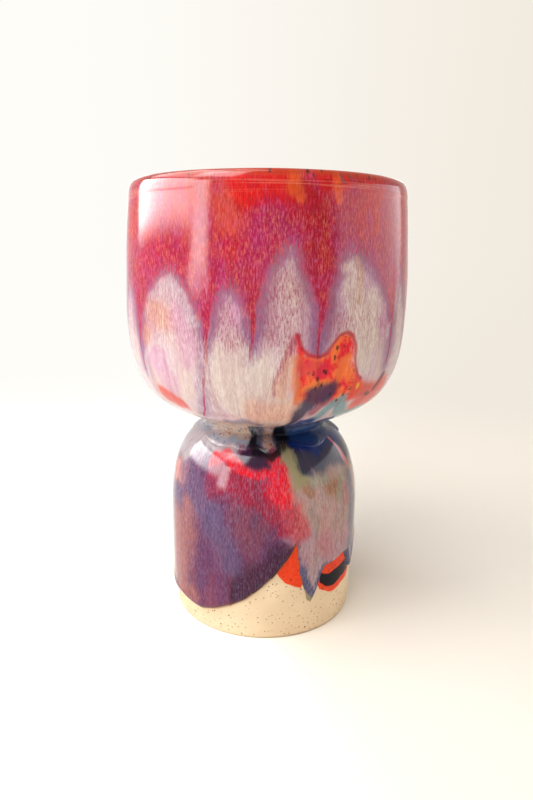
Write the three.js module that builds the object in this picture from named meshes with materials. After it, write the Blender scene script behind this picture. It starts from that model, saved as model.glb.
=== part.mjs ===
// Pottery goblet: a wheel-thrown stoneware bowl, luted with slip to a hollow thrown foot, under run glazes.
// Millimetres, +Z up. The foot stands on z = 0 and its axis is the Z axis.
// Azimuths are in degrees from the -Y side, growing towards +X.

import * as THREE from "three";

// Foot: an upside-down thrown cup with an upright wall, a shoulder and a short neck
const FOOT_BASE_RADIUS = 32.2;
const FOOT_WALL_RADIUS = 33;
const FOOT_UPRIGHT_HEIGHT = 39;
const FOOT_EDGE_BEVEL = 0.6;
const FOOT_WALL = 5;
const FOOT_CROWN = 10;
const SHOULDER_RISE = 28.6;
const SHOULDER_FALL = 2.2;
const NECK_RADIUS = 20;
const NECK_HEIGHT = 1.7;

// Slip that lutes the bowl to the neck
const SLIP_THICKNESS = 1.4;

// Bowl: a rounded underside, a nearly upright wall and a softly rounded lip
const BOWL_HEIGHT = 77.2;
const BELLY_RADIUS = 46.7;
const BELLY_RISE = 39;
const UNDERSIDE_RISE = 6.7;
const RIM_INSET = 1.5;
const LIP_THICKNESS = 3;
const LIP_ROUND_HEIGHT = 4.6;
const BOWL_WALL = 4.5;
const BOWL_FLOOR = 7;

// How far each curve keeps to the lines at its two ends, as shares of its own width or rise
const BASE_FULLNESS = 0.25;
const SHOULDER_UPRIGHT_FULLNESS = 0.56;
const SHOULDER_FLAT_FULLNESS = 0.63;
const HOLLOW_UPRIGHT_FULLNESS = 0.6;
const HOLLOW_FLAT_FULLNESS = 0.71;
const UNDERSIDE_FLAT_FULLNESS = 0.66;
const UNDERSIDE_UPRIGHT_FULLNESS = 0.77;
const WALL_FULLNESS = 0.5;
const INSIDE_UPRIGHT_FULLNESS = 0.74;
const INSIDE_FLAT_FULLNESS = 0.74;

// Glaze coats
const FIT_GAP = 0.3;
const GLAZE_THICKNESS = 0.8;
const LINER_THICKNESS = 0.6;
const RIM_GLAZE_TURN_IN = 6;
const RUN_GAP = 0.6;
const NECK_POOL_FALL = 2.4;
const NECK_POOL_RISE = 1.8;

// Lower edge of the red glaze: each run's azimuth and tip, and the crest of the arch that follows it.
// Tips and crests are shares of the glazed height of the bowl.
const RED_RUNS = [
  { angle: -54, tip: 0.37, crest: 0.67 },
  { angle: -21, tip: 0.36, crest: 0.63 },
  { angle: -5, tip: 0.37, crest: 0.77 },
  { angle: 17.5, tip: 0.39, crest: 0.77 },
  { angle: 53, tip: 0.45, crest: 0.68 },
  { angle: 78, tip: 0.38, crest: 0.63 },
  { angle: 103, tip: 0.42, crest: 0.74 },
  { angle: 127, tip: 0.37, crest: 0.61 },
  { angle: 154, tip: 0.41, crest: 0.7 },
  { angle: 179, tip: 0.38, crest: 0.65 },
  { angle: 207, tip: 0.44, crest: 0.75 },
  { angle: 231, tip: 0.37, crest: 0.6 },
  { angle: 255, tip: 0.41, crest: 0.72 },
  { angle: 282, tip: 0.38, crest: 0.64 },
];
const ARCH_ROUNDNESS = 0.6;
const RUN_BAND_MARGIN = 0.03;

// Lower edge of the plum glaze: one round lobe, with heights as shares of the glazed height of the foot
const LOBE_ANGLE = -52;
const LOBE_HALF_ANGLE = 72;
const LOBE_LOW = 0.11;
const LOBE_RISE = 0.44;

// Lower edge of the mottled glaze on the rest of the foot, and its round runs, in the same shares
const MOTTLED_EDGE = 0.4;
const MOTTLED_RUNS = [
  { angle: 29.5, drop: 0.2, width: 6 },
  { angle: 66, drop: 0.14, width: 10 },
  { angle: 112, drop: 0.21, width: 7 },
  { angle: 157, drop: 0.12, width: 11 },
  { angle: 201, drop: 0.23, width: 7 },
];

// Drips of the pooled glaze that hang from the neck over the shoulder, as shares of the deepest one
const POOL_DRIP_DROP = 2.4;
const POOL_DRIPS = [
  { angle: -14, drop: 0.5, width: 9 },
  { angle: 2, drop: 0.9, width: 6 },
  { angle: 40, drop: 0.65, width: 12 },
  { angle: 95, drop: 1, width: 9 },
  { angle: 150, drop: 0.55, width: 13 },
  { angle: 208, drop: 0.85, width: 8 },
  { angle: 262, drop: 0.6, width: 12 },
];

// Fineness of the solids
const BODY_SEGMENTS = 40;
const RUN_STEP_ANGLE = 5;
const CURVE_STEPS = 7;
const WALL_STEPS = 3;
const LIP_STEPS = 6;
const EDGE_STEPS = 4;
const SHORT_STEPS = 2;
const BISECTIONS = 40;

// Heights and radii that the pieces share
const SHOULDER_HEIGHT = FOOT_UPRIGHT_HEIGHT + SHOULDER_RISE;
const FOOT_HEIGHT = SHOULDER_HEIGHT + NECK_HEIGHT;
const HOLLOW_RADIUS = FOOT_WALL_RADIUS - FOOT_WALL;
const HOLLOW_HEIGHT = FOOT_HEIGHT - FOOT_CROWN;
const SLIP_HEIGHT = FOOT_HEIGHT + FIT_GAP;
const BOWL_SEAT = SLIP_HEIGHT + SLIP_THICKNESS + FIT_GAP;
const BELLY_HEIGHT = BOWL_SEAT + BELLY_RISE;
const RIM_RADIUS = BELLY_RADIUS - RIM_INSET;
const LIP_RADIUS = LIP_THICKNESS / 2;
const LIP_HEIGHT = BOWL_SEAT + BOWL_HEIGHT - LIP_ROUND_HEIGHT;
const INSIDE_RADIUS = BELLY_RADIUS - BOWL_WALL;
const FLOOR_HEIGHT = BOWL_SEAT + BOWL_FLOOR;
const POOL_LOW = SHOULDER_HEIGHT - NECK_POOL_FALL;
const POOL_HIGH = BOWL_SEAT + NECK_POOL_RISE;

const { lerp, euclideanModulo, degToRad, radToDeg } = THREE.MathUtils;
const at = (radius, height) => new THREE.Vector2(radius, height);

// Outlines of the foot
const footWall = new THREE.QuadraticBezierCurve(
  at(FOOT_BASE_RADIUS, FOOT_EDGE_BEVEL),
  at(FOOT_WALL_RADIUS, lerp(FOOT_EDGE_BEVEL, FOOT_UPRIGHT_HEIGHT, BASE_FULLNESS)),
  at(FOOT_WALL_RADIUS, FOOT_UPRIGHT_HEIGHT),
);
const shoulder = new THREE.CubicBezierCurve(
  at(FOOT_WALL_RADIUS, FOOT_UPRIGHT_HEIGHT),
  at(FOOT_WALL_RADIUS, lerp(FOOT_UPRIGHT_HEIGHT, SHOULDER_HEIGHT, SHOULDER_UPRIGHT_FULLNESS)),
  at(lerp(NECK_RADIUS, FOOT_WALL_RADIUS, SHOULDER_FLAT_FULLNESS), SHOULDER_HEIGHT - SHOULDER_FALL),
  at(NECK_RADIUS, SHOULDER_HEIGHT),
);
const hollow = new THREE.CubicBezierCurve(
  at(0, HOLLOW_HEIGHT),
  at(HOLLOW_RADIUS * HOLLOW_FLAT_FULLNESS, HOLLOW_HEIGHT),
  at(HOLLOW_RADIUS, lerp(FOOT_UPRIGHT_HEIGHT, HOLLOW_HEIGHT, HOLLOW_UPRIGHT_FULLNESS)),
  at(HOLLOW_RADIUS, FOOT_UPRIGHT_HEIGHT),
);

// Outlines of the bowl, from its seat up the outside, over the lip and down to the floor
const underside = new THREE.CubicBezierCurve(
  at(NECK_RADIUS, BOWL_SEAT),
  at(lerp(NECK_RADIUS, BELLY_RADIUS, UNDERSIDE_FLAT_FULLNESS), BOWL_SEAT + UNDERSIDE_RISE),
  at(BELLY_RADIUS, lerp(BELLY_HEIGHT, BOWL_SEAT, UNDERSIDE_UPRIGHT_FULLNESS)),
  at(BELLY_RADIUS, BELLY_HEIGHT),
);
const wall = new THREE.QuadraticBezierCurve(
  at(BELLY_RADIUS, BELLY_HEIGHT),
  at(BELLY_RADIUS, lerp(BELLY_HEIGHT, LIP_HEIGHT, WALL_FULLNESS)),
  at(RIM_RADIUS, LIP_HEIGHT),
);
const lipMiddle = RIM_RADIUS - LIP_RADIUS;
const lip = new THREE.EllipseCurve(lipMiddle, LIP_HEIGHT, LIP_RADIUS, LIP_ROUND_HEIGHT, 0, Math.PI);
const insideWall = new THREE.QuadraticBezierCurve(
  at(RIM_RADIUS - LIP_THICKNESS, LIP_HEIGHT),
  at(INSIDE_RADIUS, lerp(BELLY_HEIGHT, LIP_HEIGHT, WALL_FULLNESS)),
  at(INSIDE_RADIUS, BELLY_HEIGHT),
);
const insideFloor = new THREE.CubicBezierCurve(
  at(INSIDE_RADIUS, BELLY_HEIGHT),
  at(INSIDE_RADIUS, lerp(BELLY_HEIGHT, FLOOR_HEIGHT, INSIDE_UPRIGHT_FULLNESS)),
  at(INSIDE_RADIUS * INSIDE_FLAT_FULLNESS, FLOOR_HEIGHT),
  at(0, FLOOR_HEIGHT),
);

// Points of a curve, each with the direction that faces away from the clay
function stations(curve, steps, start = 0, end = 1) {
  const list = [];
  for (let step = 0; step <= steps; step += 1) {
    const place = lerp(start, end, step / steps);
    const along = curve.getTangent(place);
    list.push({ point: curve.getPoint(place), away: at(along.y, -along.x) });
  }
  return list;
}

// Several lists of stations in a row, with the shared ends taken once
function joined(...lists) {
  return lists.flatMap((list, index) => (index ? list.slice(1) : list));
}

function raised(list, distance) {
  return list.map(({ point, away }) => point.clone().addScaledVector(away, distance));
}

// The place on a curve that only rises, or only falls, where it reaches a height
function placeAtHeight(curve, height) {
  const rising = curve.getPoint(1).y > curve.getPoint(0).y;
  let low = 0;
  let high = 1;
  for (let round = 0; round < BISECTIONS; round += 1) {
    const middle = (low + high) / 2;
    const below = curve.getPoint(middle).y < height;
    if (below === rising) {
      low = middle;
    } else {
      high = middle;
    }
  }
  return low;
}

function between(curve, low, high, steps) {
  return stations(curve, steps, placeAtHeight(curve, low), placeAtHeight(curve, high));
}

// Stations between two heights on an outside that is made of two rising curves
function acrossTwo(lowerCurve, upperCurve, low, high, lowerSteps, upperSteps) {
  const meeting = lowerCurve.getPoint(1).y;
  if (low >= meeting) {
    return between(upperCurve, low, high, lowerSteps + upperSteps);
  }
  if (high <= meeting) {
    return between(lowerCurve, low, high, lowerSteps + upperSteps);
  }
  const lower = between(lowerCurve, low, meeting, lowerSteps);
  return joined(lower, between(upperCurve, meeting, high, upperSteps));
}

// A round body from an outline that starts and ends on the axis
function thrown(outline) {
  const geometry = new THREE.LatheGeometry(outline, BODY_SEGMENTS);
  geometry.rotateX(Math.PI / 2);
  return geometry;
}

// A closed skin swept round the axis, whose section can change with the azimuth.
// A section lists its outer points going up, and then its inner points going up.
function skin(sectionAt, fromAngle, toAngle) {
  const whole = toAngle - fromAngle === 360;
  const spans = Math.ceil((toAngle - fromAngle) / RUN_STEP_ANGLE);
  const columns = whole ? spans : spans + 1;
  const positions = [];
  const faces = [];
  let loop = 0;
  for (let column = 0; column < columns; column += 1) {
    const angle = lerp(fromAngle, toAngle, column / spans);
    const turn = degToRad(angle);
    const { outer, inner } = sectionAt(angle);
    loop = outer.length + inner.length;
    for (const place of [...outer, ...inner.toReversed()]) {
      positions.push(place.x * Math.sin(turn), -place.x * Math.cos(turn), place.y);
    }
  }
  for (let span = 0; span < spans; span += 1) {
    const here = span * loop;
    const next = ((span + 1) % columns) * loop;
    for (let row = 0; row < loop; row += 1) {
      const above = (row + 1) % loop;
      faces.push(here + row, next + row, here + above);
      faces.push(next + row, next + above, here + above);
    }
  }
  if (!whole) {
    faces.push(...endFaces(loop, 0, false), ...endFaces(loop, spans * loop, true));
  }
  const geometry = new THREE.BufferGeometry();
  geometry.setAttribute("position", new THREE.Float32BufferAttribute(positions, 3));
  geometry.setIndex(faces);
  geometry.computeVertexNormals();
  return geometry;
}

// The flat end of a skin that doesn't go right round
function endFaces(loop, first, flipped) {
  const faces = [];
  for (let row = 0; row < loop / 2 - 1; row += 1) {
    const out = first + row;
    const back = first + loop - 1 - row;
    const pair = [[out, out + 1, back], [out + 1, back - 1, back]];
    faces.push(...pair.flatMap((face) => (flipped ? face.toReversed() : face)));
  }
  return faces;
}

// The section of an even coat over a list of stations
function coat(list, thickness) {
  return { outer: raised(list, FIT_GAP + thickness), inner: raised(list, FIT_GAP) };
}

// Sum of round drips at an azimuth, each with its own depth and width
function dripDepth(drips, angle) {
  let depth = 0;
  for (const drip of drips) {
    const apart = euclideanModulo(angle - drip.angle + 180, 360) - 180;
    depth += drip.drop * Math.exp(-((apart / drip.width) ** 2));
  }
  return depth;
}

const bowlHeight = (share) => lerp(POOL_HIGH, LIP_HEIGHT, share);
const footHeight = (share) => lerp(0, POOL_LOW, share);

// The band of the bowl in which every run and arch lies
const runFloor = bowlHeight(Math.min(...RED_RUNS.map((run) => run.tip)) - RUN_BAND_MARGIN);
const runCeiling = bowlHeight(Math.max(...RED_RUNS.map((run) => run.crest)) + RUN_BAND_MARGIN);

// Height of the red glaze's lower edge: pointed runs with round arches between them
function redEdge(angle) {
  const turned = RED_RUNS[0].angle + euclideanModulo(angle - RED_RUNS[0].angle, 360);
  const index = RED_RUNS.findLastIndex((run) => run.angle <= turned);
  const run = RED_RUNS[index];
  const next = RED_RUNS[(index + 1) % RED_RUNS.length];
  const span = euclideanModulo(next.angle - run.angle, 360);
  const across = (turned - run.angle) / span;
  const floor = lerp(run.tip, next.tip, across);
  const arch = Math.sin(Math.PI * across) ** ARCH_ROUNDNESS;
  return bowlHeight(lerp(floor, run.crest, arch));
}

function poolEdge(angle) {
  return POOL_LOW - POOL_DRIP_DROP * dripDepth(POOL_DRIPS, angle);
}

function lobeEdge(angle) {
  return footHeight(LOBE_LOW + LOBE_RISE * ((angle - LOBE_ANGLE) / LOBE_HALF_ANGLE) ** 2);
}

function mottledEdge(angle) {
  return footHeight(MOTTLED_EDGE - dripDepth(MOTTLED_RUNS, angle));
}

// Clay pieces
function bowlBody() {
  const line = joined(
    stations(underside, CURVE_STEPS),
    stations(wall, WALL_STEPS),
    stations(lip, LIP_STEPS),
    stations(insideWall, WALL_STEPS),
    stations(insideFloor, CURVE_STEPS),
  );
  return thrown([at(0, BOWL_SEAT), ...raised(line, 0)]);
}

function pedestalBody() {
  const outside = joined(stations(footWall, WALL_STEPS), stations(shoulder, CURVE_STEPS));
  const ringInside = FOOT_BASE_RADIUS - FOOT_WALL;
  return thrown([
    ...raised(stations(hollow, CURVE_STEPS), 0),
    at(ringInside, FOOT_EDGE_BEVEL),
    at(ringInside + FOOT_EDGE_BEVEL, 0),
    at(FOOT_BASE_RADIUS - FOOT_EDGE_BEVEL, 0),
    ...raised(outside, 0),
    at(NECK_RADIUS, FOOT_HEIGHT),
    at(0, FOOT_HEIGHT),
  ]);
}

// A disc with a round edge, flush with the neck
function slipJoint() {
  const half = SLIP_THICKNESS / 2;
  const quarter = Math.PI / 2;
  const edge = new THREE.EllipseCurve(NECK_RADIUS - half, SLIP_HEIGHT + half, half, half, -quarter, quarter);
  return thrown([at(0, SLIP_HEIGHT), ...edge.getPoints(EDGE_STEPS), at(0, SLIP_HEIGHT + SLIP_THICKNESS)]);
}

// Glaze coats
function linerGlaze() {
  const top = LIP_HEIGHT - RIM_GLAZE_TURN_IN - FIT_GAP;
  const line = joined(between(insideWall, top, BELLY_HEIGHT, WALL_STEPS), stations(insideFloor, CURVE_STEPS));
  const { outer, inner } = coat(line, LINER_THICKNESS);
  return thrown([...inner.toReversed(), ...outer]);
}

function redGlaze() {
  const overLip = joined(
    between(wall, runCeiling, LIP_HEIGHT, SHORT_STEPS),
    stations(lip, LIP_STEPS),
    between(insideWall, LIP_HEIGHT, LIP_HEIGHT - RIM_GLAZE_TURN_IN, 1),
  );
  const sectionAt = (angle) => {
    const runs = acrossTwo(underside, wall, redEdge(angle), runCeiling, SHORT_STEPS, 1);
    return coat(joined(runs, overLip), GLAZE_THICKNESS);
  };
  return skin(sectionAt, 0, 360);
}

function paleGlaze() {
  const belowRuns = between(underside, POOL_HIGH + FIT_GAP, runFloor, CURVE_STEPS);
  const sectionAt = (angle) => {
    const arches = acrossTwo(underside, wall, runFloor, redEdge(angle) - RUN_GAP, 1, 1);
    return coat(joined(belowRuns, arches), GLAZE_THICKNESS);
  };
  return skin(sectionAt, 0, 360);
}

// The pool fills the waist: its back follows the clay and its face bridges from the shoulder to the bowl
function neckPoolGlaze() {
  const upper = between(underside, BOWL_SEAT, POOL_HIGH, SHORT_STEPS);
  const corners = [
    at(NECK_RADIUS + FIT_GAP, SHOULDER_HEIGHT + FIT_GAP),
    at(NECK_RADIUS + FIT_GAP, BOWL_SEAT - FIT_GAP),
  ];
  const waist = at(NECK_RADIUS, (SHOULDER_HEIGHT + FOOT_HEIGHT) / 2);
  const sectionAt = (angle) => {
    const lower = between(shoulder, poolEdge(angle), SHOULDER_HEIGHT, SHORT_STEPS + 1);
    const [lowEnd, highEnd] = coat([lower[0], upper.at(-1)], GLAZE_THICKNESS).outer;
    const face = new THREE.QuadraticBezierCurve(lowEnd, waist, highEnd);
    const back = [...raised(lower.slice(0, -1), FIT_GAP), ...corners, ...raised(upper.slice(1), FIT_GAP)];
    return { outer: face.getPoints(LIP_STEPS), inner: back };
  };
  return skin(sectionAt, 0, 360);
}

// A coat on part of the foot, from its own lower edge up to the pool
function footGlaze(lowerEdge, fromAngle, toAngle) {
  const sideGap = radToDeg(FIT_GAP / FOOT_WALL_RADIUS);
  const sectionAt = (angle) => {
    const top = poolEdge(angle) - FIT_GAP;
    const line = acrossTwo(footWall, shoulder, lowerEdge(angle), top, SHORT_STEPS, CURVE_STEPS);
    return coat(line, GLAZE_THICKNESS);
  };
  return skin(sectionAt, fromAngle + sideGap, toAngle - sideGap);
}

const lobeStart = LOBE_ANGLE - LOBE_HALF_ANGLE;
const lobeEnd = LOBE_ANGLE + LOBE_HALF_ANGLE;

function plumGlaze() {
  return footGlaze(lobeEdge, lobeStart, lobeEnd);
}

function mottledGlaze() {
  return footGlaze(mottledEdge, lobeEnd, lobeStart + 360);
}

function piece(name, geometry, color, roughness) {
  const material = new THREE.MeshStandardMaterial({ color, roughness, metalness: 0 });
  const mesh = new THREE.Mesh(geometry, material);
  mesh.name = name;
  return mesh;
}

const goblet = new THREE.Group();
goblet.add(
  piece("pedestal_body", pedestalBody(), "#e3c49b", 0.85),
  piece("slip_joint", slipJoint(), "#d8b78d", 0.9),
  piece("bowl_body", bowlBody(), "#e3c49b", 0.85),
  piece("liner_glaze", linerGlaze(), "#c9b7bd", 0.12),
  piece("red_glaze", redGlaze(), "#a5162c", 0.1),
  piece("pale_glaze", paleGlaze(), "#bcaab8", 0.1),
  piece("neck_pool_glaze", neckPoolGlaze(), "#57566f", 0.1),
  piece("plum_glaze", plumGlaze(), "#55304f", 0.1),
  piece("mottled_glaze", mottledGlaze(), "#a98f8f", 0.1),
);

export default goblet;
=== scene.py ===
"""Looks of a run-glazed stoneware goblet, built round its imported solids.

Sizes are millimetres and degrees until a mesh is made, and metres after that.
Azimuth 0 is the camera's side, -Y, and azimuths grow towards +X.
"""
import math

import bpy
import numpy as np
from mathutils import Matrix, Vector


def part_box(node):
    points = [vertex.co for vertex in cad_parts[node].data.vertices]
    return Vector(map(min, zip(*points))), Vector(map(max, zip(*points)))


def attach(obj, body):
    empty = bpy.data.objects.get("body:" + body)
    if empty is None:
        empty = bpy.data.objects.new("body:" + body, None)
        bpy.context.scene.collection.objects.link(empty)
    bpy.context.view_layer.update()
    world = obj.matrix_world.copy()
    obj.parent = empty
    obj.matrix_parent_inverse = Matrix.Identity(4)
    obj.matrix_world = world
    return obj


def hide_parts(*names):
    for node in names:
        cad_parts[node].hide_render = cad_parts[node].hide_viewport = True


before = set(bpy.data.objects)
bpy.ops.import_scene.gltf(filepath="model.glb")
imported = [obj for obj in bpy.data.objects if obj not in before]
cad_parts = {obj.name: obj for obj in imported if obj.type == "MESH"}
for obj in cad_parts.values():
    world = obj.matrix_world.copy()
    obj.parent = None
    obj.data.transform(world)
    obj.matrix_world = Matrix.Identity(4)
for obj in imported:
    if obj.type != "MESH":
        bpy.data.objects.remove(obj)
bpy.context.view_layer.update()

MM = 0.001


def low_corner(node):
    return np.array(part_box(node)[0]) / MM


def high_corner(node):
    return np.array(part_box(node)[1]) / MM


# Clay sizes that the solids give
FOOT_WALL_RADIUS, _, FOOT_HEIGHT = high_corner("pedestal_body")
NECK_RADIUS = high_corner("slip_joint")[0]
BELLY_RADIUS, _, BOWL_TOP = high_corner("bowl_body")
BOWL_SEAT = low_corner("bowl_body")[2]

# Clay sizes that the solids' boxes don't show
FOOT_BASE_RADIUS = 32.2
FOOT_EDGE_BEVEL = 0.6
FOOT_UPRIGHT_HEIGHT = 39.0
FOOT_WALL = 5.0
FOOT_CROWN = 10.0
NECK_HEIGHT = 1.7
SHOULDER_FALL = 2.2
BELLY_RISE = 39.0
UNDERSIDE_RISE = 6.7
RIM_INSET = 1.5
LIP_THICKNESS = 3.0
LIP_ROUND_HEIGHT = 4.6
BOWL_WALL = 4.5
BOWL_FLOOR = 7.0

# Handles of the clay's curves, as shares of the way along or across
FOOT_FLARE = 0.25
SHOULDER_FULLNESS = 0.56
SHOULDER_REACH = 0.63
DOME_REACH = 0.71
DOME_FULLNESS = 0.6
UNDERSIDE_REACH = 0.66
BELLY_FULLNESS = 0.77
FLOOR_ROUNDNESS = 0.74

# Glaze sizes
GLAZE = 0.9
GLAZE_BACK = 0.15
LINER = 0.6
RIM_TURN_IN = 6.0
POOL_FALL = 2.4
POOL_RISE = 1.8
COAT_BEAD = 1.7
POOL_LAP = 4.0

# Fineness of the meshes
BOWL_COLUMNS = 640
FOOT_COLUMNS = 560
CURVE_STEPS = 120
BOWL_ROWS = 210
FOOT_ROWS = 150
BACK_ROWS = 10
PEDESTAL_ROWS = 330
BOWL_CLAY_ROWS = 150
LINER_ROWS = 240
HOLLOW_WALL_STEPS = 40
RING_STEPS = 8
SEAT_STEPS = 12

# A distance that stands for anywhere out of reach
FAR = 40.0

SHOULDER_HEIGHT = FOOT_HEIGHT - NECK_HEIGHT
HOLLOW_HEIGHT = FOOT_HEIGHT - FOOT_CROWN
HOLLOW_RADIUS = FOOT_WALL_RADIUS - FOOT_WALL
BELLY_HEIGHT = BOWL_SEAT + BELLY_RISE
LIP_HEIGHT = BOWL_TOP - LIP_ROUND_HEIGHT
RIM_RADIUS = BELLY_RADIUS - RIM_INSET
INSIDE_RADIUS = BELLY_RADIUS - BOWL_WALL
FLOOR_HEIGHT = BOWL_SEAT + BOWL_FLOOR
POOL_LOW = SHOULDER_HEIGHT - POOL_FALL
POOL_HIGH = BOWL_SEAT + POOL_RISE


def lerp(start, end, share):
    return start + (end - start) * share


def swell(distance, middle, width):
    """1 at the middle, falling off smoothly on both sides over about the width."""
    return np.exp(-(((distance - middle) / width) ** 2))


def bezier(*points):
    share = np.linspace(0, 1, CURVE_STEPS)[:, None]
    layer = [np.array(point, float) for point in points]
    while len(layer) > 1:
        layer = [lerp(a, b, share) for a, b in zip(layer, layer[1:])]
    return layer[0]


class Outline:
    """A line of clay, as radius and height along its length, with the direction that faces away from it."""

    def __init__(self, *curves):
        points = np.vstack([curves[0], *[curve[1:] for curve in curves[1:]]])
        steps = np.hypot(*np.diff(points, axis=0).T)
        along = np.gradient(points, axis=0)
        along /= np.hypot(*along.T)[:, None]
        self.length = np.concatenate([[0.0], np.cumsum(steps)])
        self.radius, self.height = points.T
        self.away = np.stack([along[:, 1], -along[:, 0]], 1)

    def raised(self, length, distance):
        """Radius and height of the points that lie a distance off the clay."""
        radius = np.interp(length, self.length, self.radius)
        height = np.interp(length, self.length, self.height)
        out = np.interp(length, self.length, self.away[:, 0])
        up = np.interp(length, self.length, self.away[:, 1])
        return radius + out * distance, height + up * distance

    def length_at(self, height):
        """Length at a height, on an outline that only rises."""
        return np.interp(height, self.height, self.length)

    @property
    def end(self):
        return self.length[-1]


def foot_wall():
    return bezier(
        (FOOT_BASE_RADIUS, FOOT_EDGE_BEVEL),
        (FOOT_WALL_RADIUS, lerp(FOOT_EDGE_BEVEL, FOOT_UPRIGHT_HEIGHT, FOOT_FLARE)),
        (FOOT_WALL_RADIUS, FOOT_UPRIGHT_HEIGHT),
    )


def foot_shoulder():
    return bezier(
        (FOOT_WALL_RADIUS, FOOT_UPRIGHT_HEIGHT),
        (FOOT_WALL_RADIUS, lerp(FOOT_UPRIGHT_HEIGHT, SHOULDER_HEIGHT, SHOULDER_FULLNESS)),
        (lerp(NECK_RADIUS, FOOT_WALL_RADIUS, SHOULDER_REACH), SHOULDER_HEIGHT - SHOULDER_FALL),
        (NECK_RADIUS, SHOULDER_HEIGHT),
    )


def foot_hollow():
    return bezier(
        (0, HOLLOW_HEIGHT),
        (HOLLOW_RADIUS * DOME_REACH, HOLLOW_HEIGHT),
        (HOLLOW_RADIUS, lerp(FOOT_UPRIGHT_HEIGHT, HOLLOW_HEIGHT, DOME_FULLNESS)),
        (HOLLOW_RADIUS, FOOT_UPRIGHT_HEIGHT),
    )


def bowl_underside():
    return bezier(
        (NECK_RADIUS, BOWL_SEAT),
        (lerp(NECK_RADIUS, BELLY_RADIUS, UNDERSIDE_REACH), BOWL_SEAT + UNDERSIDE_RISE),
        (BELLY_RADIUS, lerp(BELLY_HEIGHT, BOWL_SEAT, BELLY_FULLNESS)),
        (BELLY_RADIUS, BELLY_HEIGHT),
    )


def bowl_wall():
    middle = lerp(BELLY_HEIGHT, LIP_HEIGHT, 0.5)
    return bezier((BELLY_RADIUS, BELLY_HEIGHT), (BELLY_RADIUS, middle), (RIM_RADIUS, LIP_HEIGHT))


def bowl_lip():
    half = LIP_THICKNESS / 2
    turn = np.linspace(0, math.pi, CURVE_STEPS)
    radius = RIM_RADIUS - half + half * np.cos(turn)
    return np.stack([radius, LIP_HEIGHT + LIP_ROUND_HEIGHT * np.sin(turn)], 1)


def bowl_inside_wall():
    middle = lerp(BELLY_HEIGHT, LIP_HEIGHT, 0.5)
    top = (RIM_RADIUS - LIP_THICKNESS, LIP_HEIGHT)
    return bezier(top, (INSIDE_RADIUS, middle), (INSIDE_RADIUS, BELLY_HEIGHT))


def bowl_inside_floor():
    return bezier(
        (INSIDE_RADIUS, BELLY_HEIGHT),
        (INSIDE_RADIUS, lerp(BELLY_HEIGHT, FLOOR_HEIGHT, FLOOR_ROUNDNESS)),
        (INSIDE_RADIUS * FLOOR_ROUNDNESS, FLOOR_HEIGHT),
        (0, FLOOR_HEIGHT),
    )


FOOT_OUTSIDE = Outline(foot_wall(), foot_shoulder())
BOWL_OUTSIDE = Outline(bowl_underside(), bowl_wall(), bowl_lip(), bowl_inside_wall())
BOWL_RISING = Outline(bowl_underside(), bowl_wall())
BOWL_INSIDE = Outline(bowl_inside_wall(), bowl_inside_floor())
LIP_TOP_LENGTH = BOWL_OUTSIDE.length[np.argmax(BOWL_OUTSIDE.height)]
LIP_INNER_LENGTH = Outline(bowl_underside(), bowl_wall(), bowl_lip()).end

# Meshes turned round the axis

# How far to both sides a line's corners are averaged, in blurs, and in how many steps
BLUR_SPAN = 2
BLUR_STEPS = 9


def add_object(name, data, matrix=Matrix()):
    thing = bpy.data.objects.new(name, data)
    thing.matrix_world = matrix
    bpy.context.scene.collection.objects.link(thing)
    return thing


def turned_mesh(name, radius, height, angle, loop):
    """A mesh from rows of points round the axis, which close on each other or end in poles on the axis."""
    rows, columns = radius.shape
    turn = np.radians(angle)
    points = np.stack([radius * np.sin(turn), -radius * np.cos(turn), height], -1).reshape(-1, 3)
    index = np.arange(rows * columns).reshape(rows, columns)
    here = index if loop else index[:-1]
    above = np.roll(index, -1, 0) if loop else index[1:]
    quads = np.stack([here, np.roll(here, -1, 1), np.roll(above, -1, 1), above], -1)
    faces = quads.reshape(-1, 4).tolist()
    if not loop:
        first, last = len(points), len(points) + 1
        points = np.vstack([points, [0, 0, height[0].mean()], [0, 0, height[-1].mean()]])
        for a, b in zip(index[0], np.roll(index[0], -1)):
            faces.append([first, b, a])
        for a, b in zip(index[-1], np.roll(index[-1], -1)):
            faces.append([a, b, last])
    mesh = bpy.data.meshes.new(name)
    mesh.from_pydata((points * MM).tolist(), [], faces)
    mesh.shade_smooth()
    return add_object(name, mesh)


def paint(piece, name, values):
    """Stores one number, or one vector, for each point of a mesh. Poles take the last value."""
    values = np.asarray(values, np.float32)
    vector = values.ndim == 3
    flat = values.reshape(-1, 3) if vector else values.reshape(-1, 1)
    missing = len(piece.data.vertices) - len(flat)
    flat = np.vstack([flat, np.repeat(flat[-1:], missing, 0)])
    kind, key = ("FLOAT_VECTOR", "vector") if vector else ("FLOAT", "value")
    layer = piece.data.attributes.new(name, kind, "POINT")
    layer.data.foreach_set(key, flat.ravel())


def flow_of(angle, length, radius):
    """Coordinates for streaks that run along the outline, in millimetres at the given radius."""
    turn = np.radians(angle) + np.zeros_like(length)
    return np.stack([radius * np.sin(turn), -radius * np.cos(turn), length], -1)


def ripple(angle, waves, phase):
    """A smooth hand-made waver round the axis, between about -1 and 1."""
    total = 0
    for order, wave in enumerate(waves):
        total = total + np.sin(np.radians(angle) * wave + phase * (order + 1)) / len(waves)
    return total


def apart(angle, middle):
    """Degrees from a middle azimuth, between -180 and 180."""
    return (np.asarray(angle) - middle + 180) % 360 - 180


def ring_line(angle, knots, blur):
    """A line round the axis through knots of azimuth and height, with its corners rounded off."""
    turns, heights = zip(*knots)
    total = 0
    shifts = np.linspace(-BLUR_SPAN, BLUR_SPAN, BLUR_STEPS)
    weights = np.exp(-(shifts**2))
    for shift, weight in zip(shifts, weights):
        total = total + weight * np.interp(angle + shift * blur, turns, heights, period=360)
    return total / weights.sum()


# Fields that say where a glaze lies

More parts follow.
